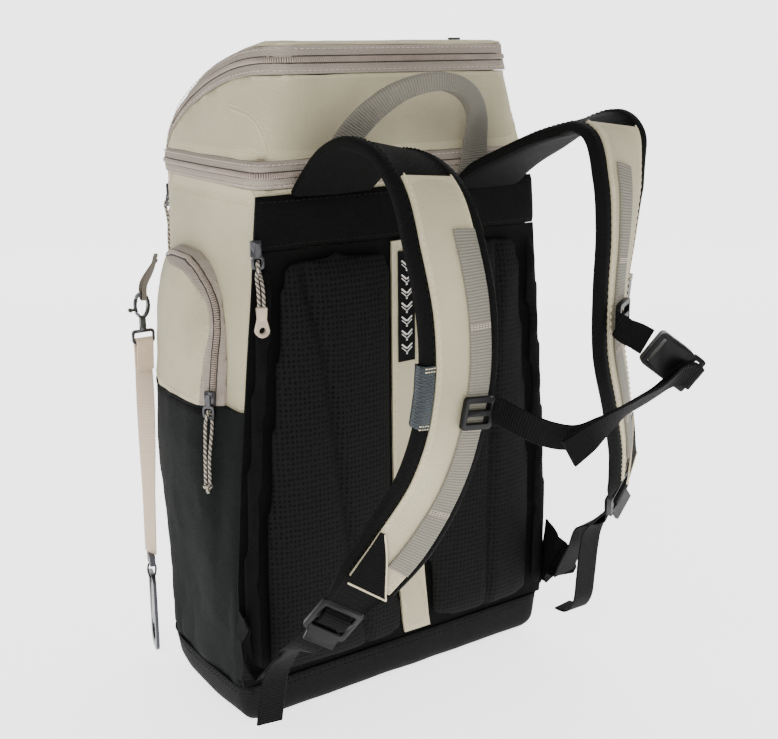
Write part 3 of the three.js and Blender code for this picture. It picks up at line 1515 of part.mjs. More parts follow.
for (const [name, side] of [
  ["left", -1],
  ["right", 1],
]) {
  add(`mesh_pad_${name}`, meshPad(side), mesh);
  add(`edge_roll_${name}`, edgeRoll(side), black);
  add(`side_pocket_${name}`, sidePocket(side), tan);
  add(`side_zip_${name}`, sideZip(side), tape);
  add(`stretch_panel_${name}`, stretchPanel(side), black);
  add(`strap_pad_${name}`, strapPad(side), black);
  add(`strap_cover_${name}`, strapLayer(side, COVER), tan);
  add(`strap_ladder_${name}`, strapLayer(side, LADDER), greyWebbing);
  add(`ladder_lock_${name}`, ladderLock(side), plastic);
  add(`side_slider_${name}`, zipSlider(SPOTS[name]), steel);
  add(`side_cord_${name}`, pullCord(SPOTS[name], SIDE_PULL), flecked);
}
add("edge_loop_left", edgeLoop(-1, 16), reflective);
add("edge_loop_right", edgeLoop(1, 16), reflective);
add("sternum_slider_left", sternumSlider(-1, LEFT_PLACE), plastic);
add("sternum_slider_right", sternumSlider(1, RIGHT_PLACE), plastic);
add("sternum_webbing_left", leftChestWebbing(), black);
add("sternum_webbing_right", webbing(RIGHT_CHEST, 8, CHEST_WEBBING), black);
add("buckle_socket", buckleSocket(), plastic);
add("buckle_plug", bucklePlug(), plastic);
add("lower_webbing_left", lowerWebbing(-1, LEFT_START, LEFT_TAIL), black);
add("lower_webbing_right", lowerWebbing(1, RIGHT_START, RIGHT_TAIL), black);
add("anchor_wing_left", anchorWing(-1, { x: -145, out: 34, z: 59.5 }), black);
add("anchor_wing_right", anchorWing(1, { x: 147, out: 29, z: 59 }), black);
add("back_slider", zipSlider(SPOTS.back), steel);
add("back_cord", pullCord(SPOTS.back, BACK_PULL), flecked);
add("back_pull_end", pullEnd(SPOTS.back, BACK_PULL), moulded);
add("front_slider", zipSlider(SPOTS.front), steel);
add("front_cord", pullCord(SPOTS.front, FRONT_PULL), flecked);
add("front_pull_end", pullEnd(SPOTS.front, FRONT_PULL), moulded);
add("top_pull", topPull(), steel);
add("lanyard_loop", lanyardLoop(), blush);
add("clasp_hook", claspHook(), steel);
add("clasp_gate", claspGate(), steel);
add("lanyard_strap", lanyardStrap(), blush);
add("lanyard_joiner", lanyardJoiner(), gunmetal);
add("bottle_opener", bottleOpener(), gunmetal);

export default pack;
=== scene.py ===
import math

import bmesh
import bpy
from bpy.props import FloatProperty, IntProperty, PointerProperty
from mathutils import Matrix, Vector, noise
from mathutils.bvhtree import BVHTree


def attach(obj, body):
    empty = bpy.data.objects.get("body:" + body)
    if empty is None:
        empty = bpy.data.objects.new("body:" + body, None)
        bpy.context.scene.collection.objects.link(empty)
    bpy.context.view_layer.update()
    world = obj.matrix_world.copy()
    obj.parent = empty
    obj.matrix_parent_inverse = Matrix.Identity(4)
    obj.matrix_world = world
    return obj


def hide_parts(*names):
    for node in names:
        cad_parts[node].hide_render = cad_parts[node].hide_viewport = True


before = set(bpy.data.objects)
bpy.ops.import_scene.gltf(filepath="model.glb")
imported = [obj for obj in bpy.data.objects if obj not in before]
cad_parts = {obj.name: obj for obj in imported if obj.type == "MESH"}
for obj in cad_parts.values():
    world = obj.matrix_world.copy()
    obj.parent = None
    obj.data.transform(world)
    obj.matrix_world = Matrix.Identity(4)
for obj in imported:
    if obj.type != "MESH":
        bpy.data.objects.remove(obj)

bl_info = {
    "name": "Cooler backpack",
    "version": (1, 0, 0),
    "blender": (4, 5, 0),
    "location": "View3D > Sidebar > Backpack",
    "description": "Cloth, webbing, zips and hardware for the cooler backpack's frame",
    "category": "Object",
}

MM = 0.001
BACK = -84.0
PANEL_FACE = BACK - 1.9
PAD_LOW = 38.0
PAD_HIGH = 356.0
BAND_LOW = 358.0
BAND_TOP = 396.0
BODY_HEIGHT = 400.0
LID_FOOT = 419.3
LID_RISE = 78.0
LIFT = Vector((0, 0, 1))


# Node graphs for the finishes


class Graph:
    """A material's node tree, with short calls for its nodes and links."""

    def __init__(self, name):
        self.material = bpy.data.materials.new(name)
        self.material.use_nodes = True
        self.tree = self.material.node_tree
        self.shader = self.tree.nodes["Principled BSDF"]

    def add(self, kind, values=None, **settings):
        node = self.tree.nodes.new("ShaderNode" + kind)
        for key, value in settings.items():
            setattr(node, key, value)
        for key, value in (values or {}).items():
            node.inputs[key].default_value = value
        return node

    def join(self, source, target):
        self.tree.links.new(source, target)

    def noise(self, where, scale, detail=3.0):
        made = self.add("TexNoise", {"Scale": scale, "Detail": detail})
        self.join(where, made.inputs["Vector"])
        return made.outputs["Fac"]

    def bands(self, where, period, direction, distortion=0.0):
        values = {"Scale": 0.314 / period, "Distortion": distortion, "Detail": 1.0}
        made = self.add("TexWave", values, bands_direction=direction)
        self.join(where, made.inputs["Vector"])
        return made.outputs["Fac"]

    def blend(self, factor, first, second, low=0.0, high=1.0):
        """A colour between two, as a factor goes from low to high."""
        ramp = self.add("ValToRGB")
        ramp.color_ramp.elements[0].position = low
        ramp.color_ramp.elements[1].position = high
        ramp.color_ramp.elements[0].color = first
        ramp.color_ramp.elements[1].color = second
        self.join(factor, ramp.inputs["Fac"])
        return ramp.outputs["Color"]

    def calc(self, operation, first, second):
        made = self.add("Math", operation=operation)
        for index, value in enumerate((first, second)):
            if isinstance(value, (int, float)):
                made.inputs[index].default_value = value
            else:
                self.join(value, made.inputs[index])
        return made.outputs[0]

    def tint(self, base, factor, colour, mode="MIX"):
        made = self.add("MixRGB", {"Color2": colour}, blend_type=mode)
        self.join(factor, made.inputs["Fac"])
        self.join(base, made.inputs["Color1"])
        return made.outputs["Color"]

    def finish(self, colour, height, depth, rough):
        bump = self.add("Bump", {"Strength": 0.8, "Distance": depth})
        self.join(height, bump.inputs["Height"])
        self.join(bump.outputs["Normal"], self.shader.inputs["Normal"])
        self.join(colour, self.shader.inputs["Base Color"])
        self.join(rough, self.shader.inputs["Roughness"])
        return self.material


def tone(red, green, blue):
    """A colour from its sRGB values, 0 to 255."""
    shares = [value / 255 for value in (red, green, blue)]
    return tuple(s / 12.92 if s < 0.04 else ((s + 0.055) / 1.055) ** 2.4 for s in shares) + (1.0,)


def shade(colour, amount):
    return tuple(min(1.0, channel * amount) for channel in colour[:3]) + (1.0,)


def cloth_finish(name, colour, thread=0.0011, depth=0.00025, rough=0.8, mottle=0.12, wear=0.25, gloss=0.3):
    """A plain weave with two thread directions, blotches of tone and rubbed edges."""
    graph = Graph(name)
    where = graph.add("TexCoord").outputs["Object"]
    turned = graph.add("Mapping", {"Rotation": (0.4, 0.9, math.pi / 2)})
    graph.join(where, turned.inputs["Vector"])
    warp = graph.bands(where, thread, "DIAGONAL", 0.6)
    weft = graph.bands(turned.outputs["Vector"], thread, "DIAGONAL", 0.6)
    weave = graph.calc("MULTIPLY", warp, weft)
    blotch = graph.noise(where, 14, 4)
    fleck = graph.noise(where, 420, 2)
    base = graph.blend(blotch, shade(colour, 1 - mottle), shade(colour, 1 + mottle), 0.3, 0.7)
    base = graph.tint(base, graph.calc("MULTIPLY", fleck, 0.35), shade(colour, 0.72))
    rubbed = graph.add("NewGeometry").outputs["Pointiness"]
    edge = graph.calc("MULTIPLY", graph.calc("GREATER_THAN", rubbed, 0.53), wear)
    base = graph.tint(base, edge, shade(colour, 1.5))
    height = graph.calc("ADD", weave, graph.calc("MULTIPLY", graph.noise(where, 90, 3), 1.2))
    graph.shader.inputs["Specular IOR Level"].default_value = gloss
    return graph.finish(base, height, depth, graph.calc("ADD", graph.calc("MULTIPLY", fleck, 0.2), rough - 0.1))


def spacer_finish(name, colour, cell=0.0034):
    """Knitted spacer mesh: rounded holes in a dark net, with painted shade darkening the holes."""
    graph = Graph(name)
    where = graph.add("TexCoord").outputs["Object"]
    net = graph.add("TexVoronoi", {"Scale": 1 / cell, "Randomness": 0.22})
    flat = graph.add("Mapping", {"Scale": (1.0, 0.0, 0.86)})
    graph.join(where, flat.inputs["Vector"])
    graph.join(flat.outputs["Vector"], net.inputs["Vector"])
    hole = net.outputs["Distance"]
    # painted shade: the holes are coloured darker and the raised net between them lighter, as shade falls in the holes
    base = graph.blend(hole, shade(colour, 0.35), shade(colour, 1.5), 0.2, 0.42)
    base = graph.tint(base, graph.calc("MULTIPLY", graph.noise(where, 25), 0.25), shade(colour, 1.9))
    graph.shader.inputs["Specular IOR Level"].default_value = 0.05
    height = graph.calc("MINIMUM", hole, 0.45)
    return graph.finish(base, height, 0.0012, graph.calc("ADD", graph.calc("MULTIPLY", hole, 0.2), 0.7))


def webbing_finish(name, colour, rib=0.0019, depth=0.0005, rough=0.75, gloss=0.25):
    """Ribbed webbing: crosswise ribs and fine lengthwise threads, from the ribbon's own UVs, with painted shade in the
    grooves between the ribs.
    """
    graph = Graph(name)
    where = graph.add("TexCoord").outputs["UV"]
    ribs = graph.bands(where, rib, "X", 0.4)
    threads = graph.bands(where, 0.0012, "Y", 0.8)
    tufts = graph.noise(where, 700, 2)
    # painted shade: the grooves between the ribs are coloured darker and the rib tops lighter, following the rib
    # height
    base = graph.blend(ribs, shade(colour, 0.74), shade(colour, 1.1), 0.1, 0.8)
    base = graph.tint(base, graph.calc("MULTIPLY", tufts, 0.4), shade(colour, 0.8))
    height = graph.calc("ADD", ribs, graph.calc("MULTIPLY", threads, 0.4))
    graph.shader.inputs["Specular IOR Level"].default_value = gloss
    return graph.finish(base, height, depth, graph.calc("ADD", graph.calc("MULTIPLY", tufts, 0.2), rough - 0.1))


def moulded_finish(name, colour, rough=0.42, grain=900, metal=0.0, depth=0.00008, gloss=0.5):
    """Moulded plastic, rubber or brushed metal, with handling marks and paler edges."""
    graph = Graph(name)
    where = graph.add("TexCoord").outputs["Object"]
    stretched = graph.add("Mapping", {"Scale": (1.0, 1.0, 0.25)})
    graph.join(where, stretched.inputs["Vector"])
    grit = graph.noise(stretched.outputs["Vector"], grain, 4)
    smear = graph.noise(where, 60, 4)
    base = graph.blend(smear, shade(colour, 0.8), shade(colour, 1.25), 0.35, 0.65)
    worn = graph.add("NewGeometry").outputs["Pointiness"]
    edge = graph.calc("MULTIPLY", graph.calc("GREATER_THAN", worn, 0.55), 0.35)
    base = graph.tint(base, edge, shade(colour, 2.2))
    graph.shader.inputs["Metallic"].default_value = metal
    graph.shader.inputs["Specular IOR Level"].default_value = gloss
    return graph.finish(base, grit, depth, graph.calc("ADD", graph.calc("MULTIPLY", smear, 0.3), rough - 0.12))


def cord_finish(name, pale, dark):
    """A twisted cord of pale and dark strands."""
    graph = Graph(name)
    where = graph.add("TexCoord").outputs["UV"]
    strands = graph.bands(where, 0.0018, "DIAGONAL", 1.6)
    fibres = graph.bands(where, 0.0009, "DIAGONAL", 2.0)
    flecks = graph.noise(where, 500, 2)
    base = graph.blend(graph.calc("ADD", graph.calc("MULTIPLY", strands, 0.7), graph.calc("MULTIPLY", flecks, 0.4)), dark, pale, 0.42, 0.55)
    height = graph.calc("ADD", strands, graph.calc("MULTIPLY", fibres, 0.3))
    return graph.finish(base, height, 0.0006, graph.calc("ADD", graph.calc("MULTIPLY", flecks, 0.2), 0.7))


TAN = tone(176, 167, 139)
TAPE = tone(140, 130, 119)
BLACK = tone(11, 12, 11)
BOOT = tone(19, 20, 19)
PALE_WEBBING = tone(126, 122, 110)

RECIPES = {
    "tan_cloth": lambda: cloth_finish("tan_cloth", TAN, rough=0.72),
    "zip_tape": lambda: cloth_finish("zip_tape", TAPE, thread=0.0015, depth=0.0003, mottle=0.06),
    "black_cloth": lambda: cloth_finish("black_cloth", BLACK, depth=0.0003, wear=0.12, gloss=0.06),
    "boot_cloth": lambda: cloth_finish("boot_cloth", BOOT, thread=0.0014, depth=0.0003, wear=0.1, gloss=0.08),
    "stretch_cloth": lambda: cloth_finish("stretch_cloth", tone(19, 21, 21), thread=0.0009, wear=0.0, gloss=0.08),
    "spacer_mesh": lambda: spacer_finish("spacer_mesh", tone(15, 16, 15)),
    "grey_webbing": lambda: webbing_finish("grey_webbing", PALE_WEBBING),
    "black_webbing": lambda: webbing_finish("black_webbing", tone(12, 12, 12), gloss=0.08),
    "lanyard_webbing": lambda: webbing_finish("lanyard_webbing", tone(226, 202, 178), rib=0.0012),
    "reflective_tape": lambda: cloth_finish("reflective_tape", tone(34, 42, 45), thread=0.0016, rough=0.42),
    "label": lambda: cloth_finish("label", tone(12, 12, 12), thread=0.0007, mottle=0.05, gloss=0.08),
    "label_print": lambda: cloth_finish("label_print", tone(205, 203, 196), thread=0.0007, mottle=0.05),
    "black_plastic": lambda: moulded_finish("black_plastic", tone(9, 9, 10), gloss=0.22),
    "dark_steel": lambda: moulded_finish("dark_steel", tone(66, 66, 68), 0.34, 300, 0.9),
    "gunmetal": lambda: moulded_finish("gunmetal", tone(52, 53, 56), 0.36, 260, 0.85),
    "moulded_end": lambda: moulded_finish("moulded_end", tone(160, 145, 126), 0.6, 700),
    "flecked_cord": lambda: cord_finish("flecked_cord", tone(166, 157, 140), tone(58, 54, 50)),
    "coil": lambda: moulded_finish("coil", tone(126, 114, 104), 0.5, 500),
    # painted shadow: a dark strip under each zip's coil stands for the shade along both sides of the teeth
    "coil_bed": lambda: cloth_finish("coil_bed", tone(48, 42, 38), thread=0.0012, mottle=0.05),
    "pale_thread": lambda: cloth_finish("pale_thread", tone(196, 184, 156), thread=0.0006),
    "dark_thread": lambda: cloth_finish("dark_thread", tone(26, 26, 25), thread=0.0006, gloss=0.08),
    "loop_cloth": lambda: webbing_finish("loop_cloth", tone(116, 108, 98), rib=0.0012),
    "tape_thread": lambda: cloth_finish("tape_thread", tone(176, 164, 152), thread=0.0006),
}
made_finishes = {}


def finish_of(name):
    if name not in made_finishes:
        made_finishes[name] = RECIPES[name]()
    return made_finishes[name]


# Meshes and pieces


def settle(obj, finish, *nodes, body="pack", sharp=40):
    """Gives a new piece its material, its shading and its body, and hides the CAD nodes that it stands for."""
    obj.data.materials.clear()
    obj.data.materials.append(finish_of(finish))
    obj.data.shade_smooth()
    obj.data.set_sharp_from_angle(angle=math.radians(sharp))
    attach(obj, body)
    if nodes:
        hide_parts(*nodes)
    return obj


def new_piece(name, points, faces, uvs=None):
    mesh = bpy.data.meshes.new(name)
    mesh.from_pydata([Vector(point) * MM for point in points], [], faces)
    if uvs:
        layer = mesh.uv_layers.new(name="UVMap")
        for loop, uv in zip(layer.data, uvs):
            loop.uv = uv
    mesh.update()
    obj = bpy.data.objects.new(name, mesh)
    bpy.context.collection.objects.link(obj)
    return obj


def tree_of(obj):
    work = bmesh.new()
    work.from_mesh(obj.data)
    tree = BVHTree.FromBMesh(work)
    work.free()
    return tree


def evenly_cut(work, step):
    """Cuts a mesh by level planes along each axis, so that it can bend."""
    for axis in range(3):
        places = [vert.co[axis] for vert in work.verts]
        low, high = min(places), max(places)
        count = int((high - low) / step)
        normal = Vector([1.0 if index == axis else 0.0 for index in range(3)])
        for index in range(1, count + 1):
            spot = normal * (low + (high - low) * index / (count + 1))
            parts = work.verts[:] + work.edges[:] + work.faces[:]
            bmesh.ops.bisect_plane(work, geom=parts, dist=1e-6, plane_co=spot, plane_no=normal)


def soft_verts(work, angle):
    """The points with no sharp fold at them."""
    limit = math.radians(angle)
    return [
        vert
        for vert in work.verts
        if all(edge.is_manifold and edge.calc_face_angle(0) < limit for edge in vert.link_edges)
    ]


def crease(point, rows):
    """How far the cloth stands out of its plain form at a place, from rows of size and spacing."""
    total = 0.0
    for amount, across, upward, seed in rows:
        spot = Vector((point.x / across, point.y / across, point.z / upward)) / MM
        total += amount * noise.noise(spot + Vector((seed, seed * 1.7, 0)))
    return total * MM


def dressed(node, finish, folds, step=9.0, relax=4, extra=None, name=None):
    """A sewn copy of a plain CAD solid: finely cut, eased at its facets and lightly creased."""
    work = bmesh.new()
    work.from_mesh(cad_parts[node].data)
    bmesh.ops.remove_doubles(work, verts=work.verts[:], dist=5e-5)
    bmesh.ops.join_triangles(
        work,
        faces=work.faces[:],
        angle_face_threshold=math.radians(18),
        angle_shape_threshold=math.radians(50),
    )
    evenly_cut(work, step * MM)
    gentle = soft_verts(work, 38)
    for _ in range(relax):
        bmesh.ops.smooth_vert(work, verts=gentle, factor=0.5, use_axis_x=True, use_axis_y=True, use_axis_z=True)
    work.normal_update()
    moves = []
    for vert in work.verts:
        amount = crease(vert.co, folds)
        if extra:
            amount += extra(vert.co / MM, vert.normal) * MM
        moves.append(vert.normal * amount)
    for vert, move in zip(work.verts, moves):
        vert.co += move
        vert.co.z = max(0.0, vert.co.z)
    mesh = bpy.data.meshes.new(name or node + "_cloth")
    work.to_mesh(mesh)
    work.free()
    obj = bpy.data.objects.new(mesh.name, mesh)
    bpy.context.collection.objects.link(obj)
    return settle(obj, finish, node)


def hard_copy(node, finish, bevel=0.35, body="pack"):
    """A moulded or pressed copy of a CAD solid, with its edges broken."""
    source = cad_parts[node]
    obj = bpy.data.objects.new(node + "_hard", source.data.copy())
    bpy.context.collection.objects.link(obj)
    work = bmesh.new()
    work.from_mesh(obj.data)
    bmesh.ops.remove_doubles(work, verts=work.verts[:], dist=3e-5)
    bmesh.ops.dissolve_limit(work, angle_limit=math.radians(2), verts=work.verts[:], edges=work.edges[:])
    edges = [edge for edge in work.edges if edge.is_manifold and edge.calc_face_angle(0) > math.radians(35)]
    bmesh.ops.bevel(work, geom=edges, offset=bevel * MM, segments=2, affect="EDGES", clamp_overlap=True)
    work.to_mesh(obj.data)
    work.free()
    return settle(obj, finish, node, body=body)


class Pile:
    """Many small alike pieces, such as stitches or teeth, kept as one mesh."""

    def __init__(self):
        self.points = []
        self.faces = []

    def bar(self, centre, along, normal, size):
        """A small bar with a narrower top. Places are in metres and sizes in millimetres."""
        along = along.normalized()
        side = normal.cross(along).normalized()
        length, width, height = (value * MM / 2 for value in size)
        first = len(self.points)
        for level, share in ((-1, 1.0), (1, 0.62)):
            for a, b in ((-1, -1), (1, -1), (1, 1), (-1, 1)):
                spot = centre + along * (a * length * share) + side * (b * width * share)
                self.points.append((spot + normal * (level * height)) / MM)
        for face in ((3, 2, 1, 0), (4, 5, 6, 7), (0, 1, 5, 4), (1, 2, 6, 5), (2, 3, 7, 6), (3, 0, 4, 7)):
            self.faces.append([first + index for index in face])

    def made(self, name, finish):
        if not self.faces:
            raise RuntimeError(name + " has nothing in it")
        return settle(new_piece(name, self.points, self.faces), finish, sharp=60)


def snapped(points, tree):
    """A drawn line, laid on a surface: places and the ways that they face, in metres."""
    path = []
    for point in points:
        hit, normal, _, _ = tree.find_nearest(Vector(point) * MM)
        path.append((hit, normal))
    return path


def cast(tree, start, way):
    hit, normal, _, _ = tree.ray_cast(Vector(start) * MM, Vector(way))
    return None if hit is None else (hit, normal)


def ringed(tree, z, start, end, steps=160):
    """A line round the outside at one height, between two bearings in degrees from +X."""
    path = []
    for index in range(steps + 1):
        angle = math.radians(start + (end - start) * index / steps)
        way = Vector((math.cos(angle), math.sin(angle), 0))
        found = cast(tree, Vector((0, 0, z)) + way * 400, -way)
        if found:
            path.append(found)
    return path


def paced(path, gap):
    """Even places on a line, each with its direction and the way that it faces."""
    places = []
    wait = 0.0
    for (a, facing_a), (b, facing_b) in zip(path, path[1:]):
        span = (b - a).length
        if span < 1e-7 or span > 0.03:
            continue
        while wait < span:
            share = wait / span
            places.append((a.lerp(b, share), (b - a).normalized(), facing_a.lerp(facing_b, share).normalized()))
            wait += gap * MM
        wait -= span
    return places


def sew(pile, path, stitch=3.0, gap=4.4, width=0.8, lift=0.15):
    for place, along, normal in paced(path, gap):
        pile.bar(place + normal * lift * MM, along, normal, (stitch, width, 0.7))


def ribbon(name, path, width, height, finish, pace=3.0):
    """A narrow raised strip that follows a line on a surface."""
    rings = []
    for place, along, normal in paced(path, pace):
        side = normal.cross(along).normalized() * width * MM / 2
        top = normal * height * MM
        under = normal * -0.4 * MM
        rings.append([place - side + under, place - side * 0.8 + top * 0.7, place + top, place + side * 0.8 + top * 0.7, place + side + under])
    return settle(skin(name, [[spot / MM for spot in ring] for ring in rings]), finish)


def skin(name, rings):
    """A closed piece through rings of the same number of points, with lengthwise and round UVs."""
    count = len(rings[0])
    points = [point for ring in rings for point in ring]
    faces, uvs = [], []
    middles = [sum((Vector(p) for p in ring), Vector()) / count for ring in rings]
    lengths = [0.0]
    for a, b in zip(middles, middles[1:]):
        lengths.append(lengths[-1] + (b - a).length * MM)
    rounds = [0.0]
    for index in range(count):
        span = (Vector(rings[len(rings) // 2][index]) - Vector(rings[len(rings) // 2][(index + 1) % count])).length
        rounds.append(rounds[-1] + span * MM)
    for row in range(len(rings) - 1):
        for index in range(count):
            after = (index + 1) % count
            near, far = row * count, (row + 1) * count
            faces.append([near + index, near + after, far + after, far + index])
            uvs += [
                (lengths[row], rounds[index]),
                (lengths[row], rounds[index + 1]),
                (lengths[row + 1], rounds[index + 1]),
                (lengths[row + 1], rounds[index]),
            ]
    for first, length in ((0, lengths[0]), ((len(rings) - 1) * count, lengths[-1])):
        faces.append([first + index for index in range(count)])
        uvs += [(length, rounds[index]) for index in range(count)]
    obj = new_piece(name, points, faces, uvs)
    work = bmesh.new()
    work.from_mesh(obj.data)
    bmesh.ops.recalc_face_normals(work, faces=work.faces[:])
    work.to_mesh(obj.data)
    work.free()
    return obj


# Ways through space, as the straps and the webbing follow


def spline_at(points, t):
    """A point on a centripetal spline through the given points."""
    spot = (len(points) - 1) * t
    low = min(int(math.floor(spot)), len(points) - 2)
    weight = spot - low
    before = points[low - 1] if low > 0 else points[0] * 2 - points[1]
    after = points[low + 2] if low + 2 < len(points) else points[-1] * 2 - points[-2]
    p = [before, points[low], points[low + 1], after]
    gaps = [(p[i + 1] - p[i]).length_squared ** 0.25 for i in range(3)]
    gaps[1] = gaps[1] if gaps[1] > 1e-4 else 1.0
    gaps[0] = gaps[0] if gaps[0] > 1e-4 else gaps[1]
    gaps[2] = gaps[2] if gaps[2] > 1e-4 else gaps[1]
    first, mid, last = gaps
    start = ((p[1] - p[0]) / first - (p[2] - p[0]) / (first + mid) + (p[2] - p[1]) / mid) * mid
    end = ((p[2] - p[1]) / mid - (p[3] - p[1]) / (mid + last) + (p[3] - p[2]) / last) * mid
    square, cube = weight * weight, weight**3
    curve = (p[2] * -3 + p[2] * 6 - p[1] * 3 - start * 2 - end) * square
    return p[1] + start * weight + curve + (p[1] * 2 - p[2] * 2 + start + end) * cube


def stop(place, across, half, thick):
    return {"place": Vector(place), "across": Vector(across).normalized(), "half": half, "thick": thick}


def frames(stops, steps):
    places = [row["place"] for row in stops]
    made = []
    for index in range(steps + 1):
        t = index / steps
        spot = t * (len(stops) - 1)
        low = min(int(spot), len(stops) - 2)
        share = spot - low
        near, far = stops[low], stops[low + 1]
        hint = near["across"].lerp(far["across"], share)
        tangent = (spline_at(places, min(1, t + 1e-4)) - spline_at(places, max(0, t - 1e-4))).normalized()
        across = (hint - tangent * hint.dot(tangent)).normalized()
        made.append(
            {
                "centre": spline_at(places, t),
                "across": across,
                "tangent": tangent,
                "out": tangent.cross(across).normalized(),
                "half": near["half"] + (far["half"] - near["half"]) * share,
                "thick": near["thick"] + (far["thick"] - near["thick"]) * share,
            }
        )
    return made


def spot_on(row, a, n):
    return row["centre"] + row["across"] * a + row["out"] * n


def flat_profile(row):
    """A woven band's section: flat, with rounded selvedges and a slightly sunken middle."""
    half, deep = row["half"], row["thick"] / 2
    shares = (-1.0, -0.93, -0.5, 0.0, 0.5, 0.93)
    lower = [(half * s, -deep * (0.25 if abs(s) == 1 else 1.0 if abs(s) > 0.6 else 0.9)) for s in shares]
    upper = [(-half * s, deep * (0.25 if abs(s) == 1 else 1.0 if abs(s) > 0.6 else 0.9)) for s in shares]
    return [spot_on(row, a, n) for a, n in lower + upper]


def band(name, stops, steps, finish, *nodes):
    return settle(skin(name, [flat_profile(row) for row in frames(stops, steps)]), finish, *nodes)


def webbing_stops(rows, width, thick=1.6):
    """Stops from rows of side, distance off the back, height, way across, and width and thickness shares."""
    made = []
    for x, out, z, across, *shares in rows:
        wide, deep = (list(shares) + [1, 1])[:2] if len(shares) < 2 else shares[:2]
        made.append(stop((x, BACK - out, z), across, wide * width / 2, deep * thick))
    return made


# The shoulder straps: side, out, height and half-width shares, yaw and bank

LEFT_STRAP = [
    (0.438, -0.03, 0.99, 1.12, 0, 0),
    (0.445, 0.1, 1.032, 1.1, 0, 3),
    (0.462, 0.25, 1.068, 1.06, 0, 8),
    (0.474, 0.43, 1.086, 1.02, 0, 12),
    (0.478, 0.62, 1.074, 1, 1, 12),
    (0.483, 0.79, 1.026, 1, 4, 9),
    (0.503, 0.91, 0.95, 1, 3, 4),
    (0.499, 0.98, 0.859, 1, 0, 0),
    (0.504, 1, 0.763, 1, -1, 0),
    (0.537, 0.98, 0.662, 0.98, -1, 0),
    (0.594, 0.93, 0.571, 0.94, 6, 0),
    (0.702, 0.86, 0.482, 0.86, 20, -2),
    (0.812, 0.777, 0.409, 0.72, 28, -4),
    (0.872, 0.705, 0.361, 0.53, 30, -6),
]
RIGHT_STRAP = [
    (0.5, -0.03, 0.98, 1.12, 0, 0),
    (0.505, 0.13, 1.028, 1.1, 0, 2),
    (0.51, 0.34, 1.068, 1.06, 0, 5),
    (0.51, 0.56, 1.106, 1.02, 5, 8),
    (0.508, 0.74, 1.12, 1, 12, 8),
    (0.475, 0.87, 1.098, 1, 15, 6),
    (0.43, 0.955, 1.032, 1, 18, 4),
    (0.401, 0.985, 0.949, 0.99, 24, 2),
    (0.372, 0.995, 0.859, 0.99, 28, 0),
    (0.386, 0.985, 0.763, 0.98, 31, 0),
    (0.486, 0.95, 0.662, 0.95, 34, -2),
    (0.594, 0.89, 0.576, 0.86, 36, -4),
    (0.672, 0.83, 0.505, 0.72, 35, -6),
    (0.75, 0.76, 0.455, 0.53, 28, -8),
]
STRAP_STEPS = 25
STRAP_FOOT = BACK - 4.6
STRAP_THICK = 8.0
GAP = 0.3
COVER_CLOTH = 1.8
WEBBING = 1.6


def strap_way(side, finer):
    rows = LEFT_STRAP if side < 0 else RIGHT_STRAP
    stops = []
    for index, (reach, out, height, half, yaw, bank) in enumerate(rows):
        yaw, bank = math.radians(yaw), math.radians(bank)
        thin = 0.5 if index in (0, len(rows) - 1) else 1.0
        place = (side * reach * 146, STRAP_FOOT - out * 157, height * 396)
        across = (side * math.cos(yaw) * math.cos(bank), math.sin(yaw) * math.cos(bank), math.sin(bank))
        stops.append(stop(place, across, half * 29, thin * STRAP_THICK))
    made = frames(stops, STRAP_STEPS * finer)
    for row in made:
        row["out"] = row["out"] * side
        row["inset"] = 0.6 if side < 0 else 9.0
    return made


def strap_edges(row):
    half = row["half"]
    share = min(1.0, half / 29)
    inner = 9 * share**2 - half
    outer = half - 8 * share
    low = inner + row["inset"] * share
    return inner, low, low + min(16.0, (outer - low) * 0.8), outer


def pad_profile(row):
    """The padded strap's section: crowned behind, with a rolled binding along each edge."""
    half, top = row["half"], row["thick"] / 2
    inner, _, _, outer = strap_edges(row)
    grow = min(1.0, top / 3)
    behind = [(half * s, -top - 1.3 * grow * (1 - s * s)) for s in (-0.9, -0.6, -0.3, 0, 0.3, 0.6, 0.9)]
    edge = [(half, -top * 0.65), (half + 0.4, 0), (half, top * 0.65), (half - 1.6, top + 0.2)]
    face = [(outer + 3, top + 0.7 * grow), (outer + 0.8, top + 0.2), (outer - 0.4, top - 0.6 * grow)]
    face += [(inner + (outer - inner) * s, top - 0.25) for s in (0.75, 0.5, 0.25)]
    face += [(inner + 0.4, top - 0.6 * grow), (inner - 0.8, top + 0.2), (inner - 3, top + 0.7 * grow)]
    far = [(1.6 - half, top + 0.2), (-half, top * 0.65), (-half - 0.4, 0), (-half, -top * 0.65)]
    return [spot_on(row, a, n) for a, n in behind + edge + face + far]


def layer_profile(row, low_edge, high_edge, lift, thick):
    """A layer laid on the strap's face, with turned edges."""
    low = row["thick"] / 2 + lift
    span = high_edge - low_edge
    lower = [(low_edge + span * s, low) for s in (0, 0.3, 0.7, 1)]
    upper = [(high_edge - span * s, low + thick * (0.7 if s in (0, 1) else 1)) for s in (0, 0.05, 0.35, 0.65, 0.95, 1)]
    return [spot_on(row, a, n) for a, n in lower + upper]


def span_of(way, finer, first, last):
    return way[int(first * finer) : int(last * finer) + 1]


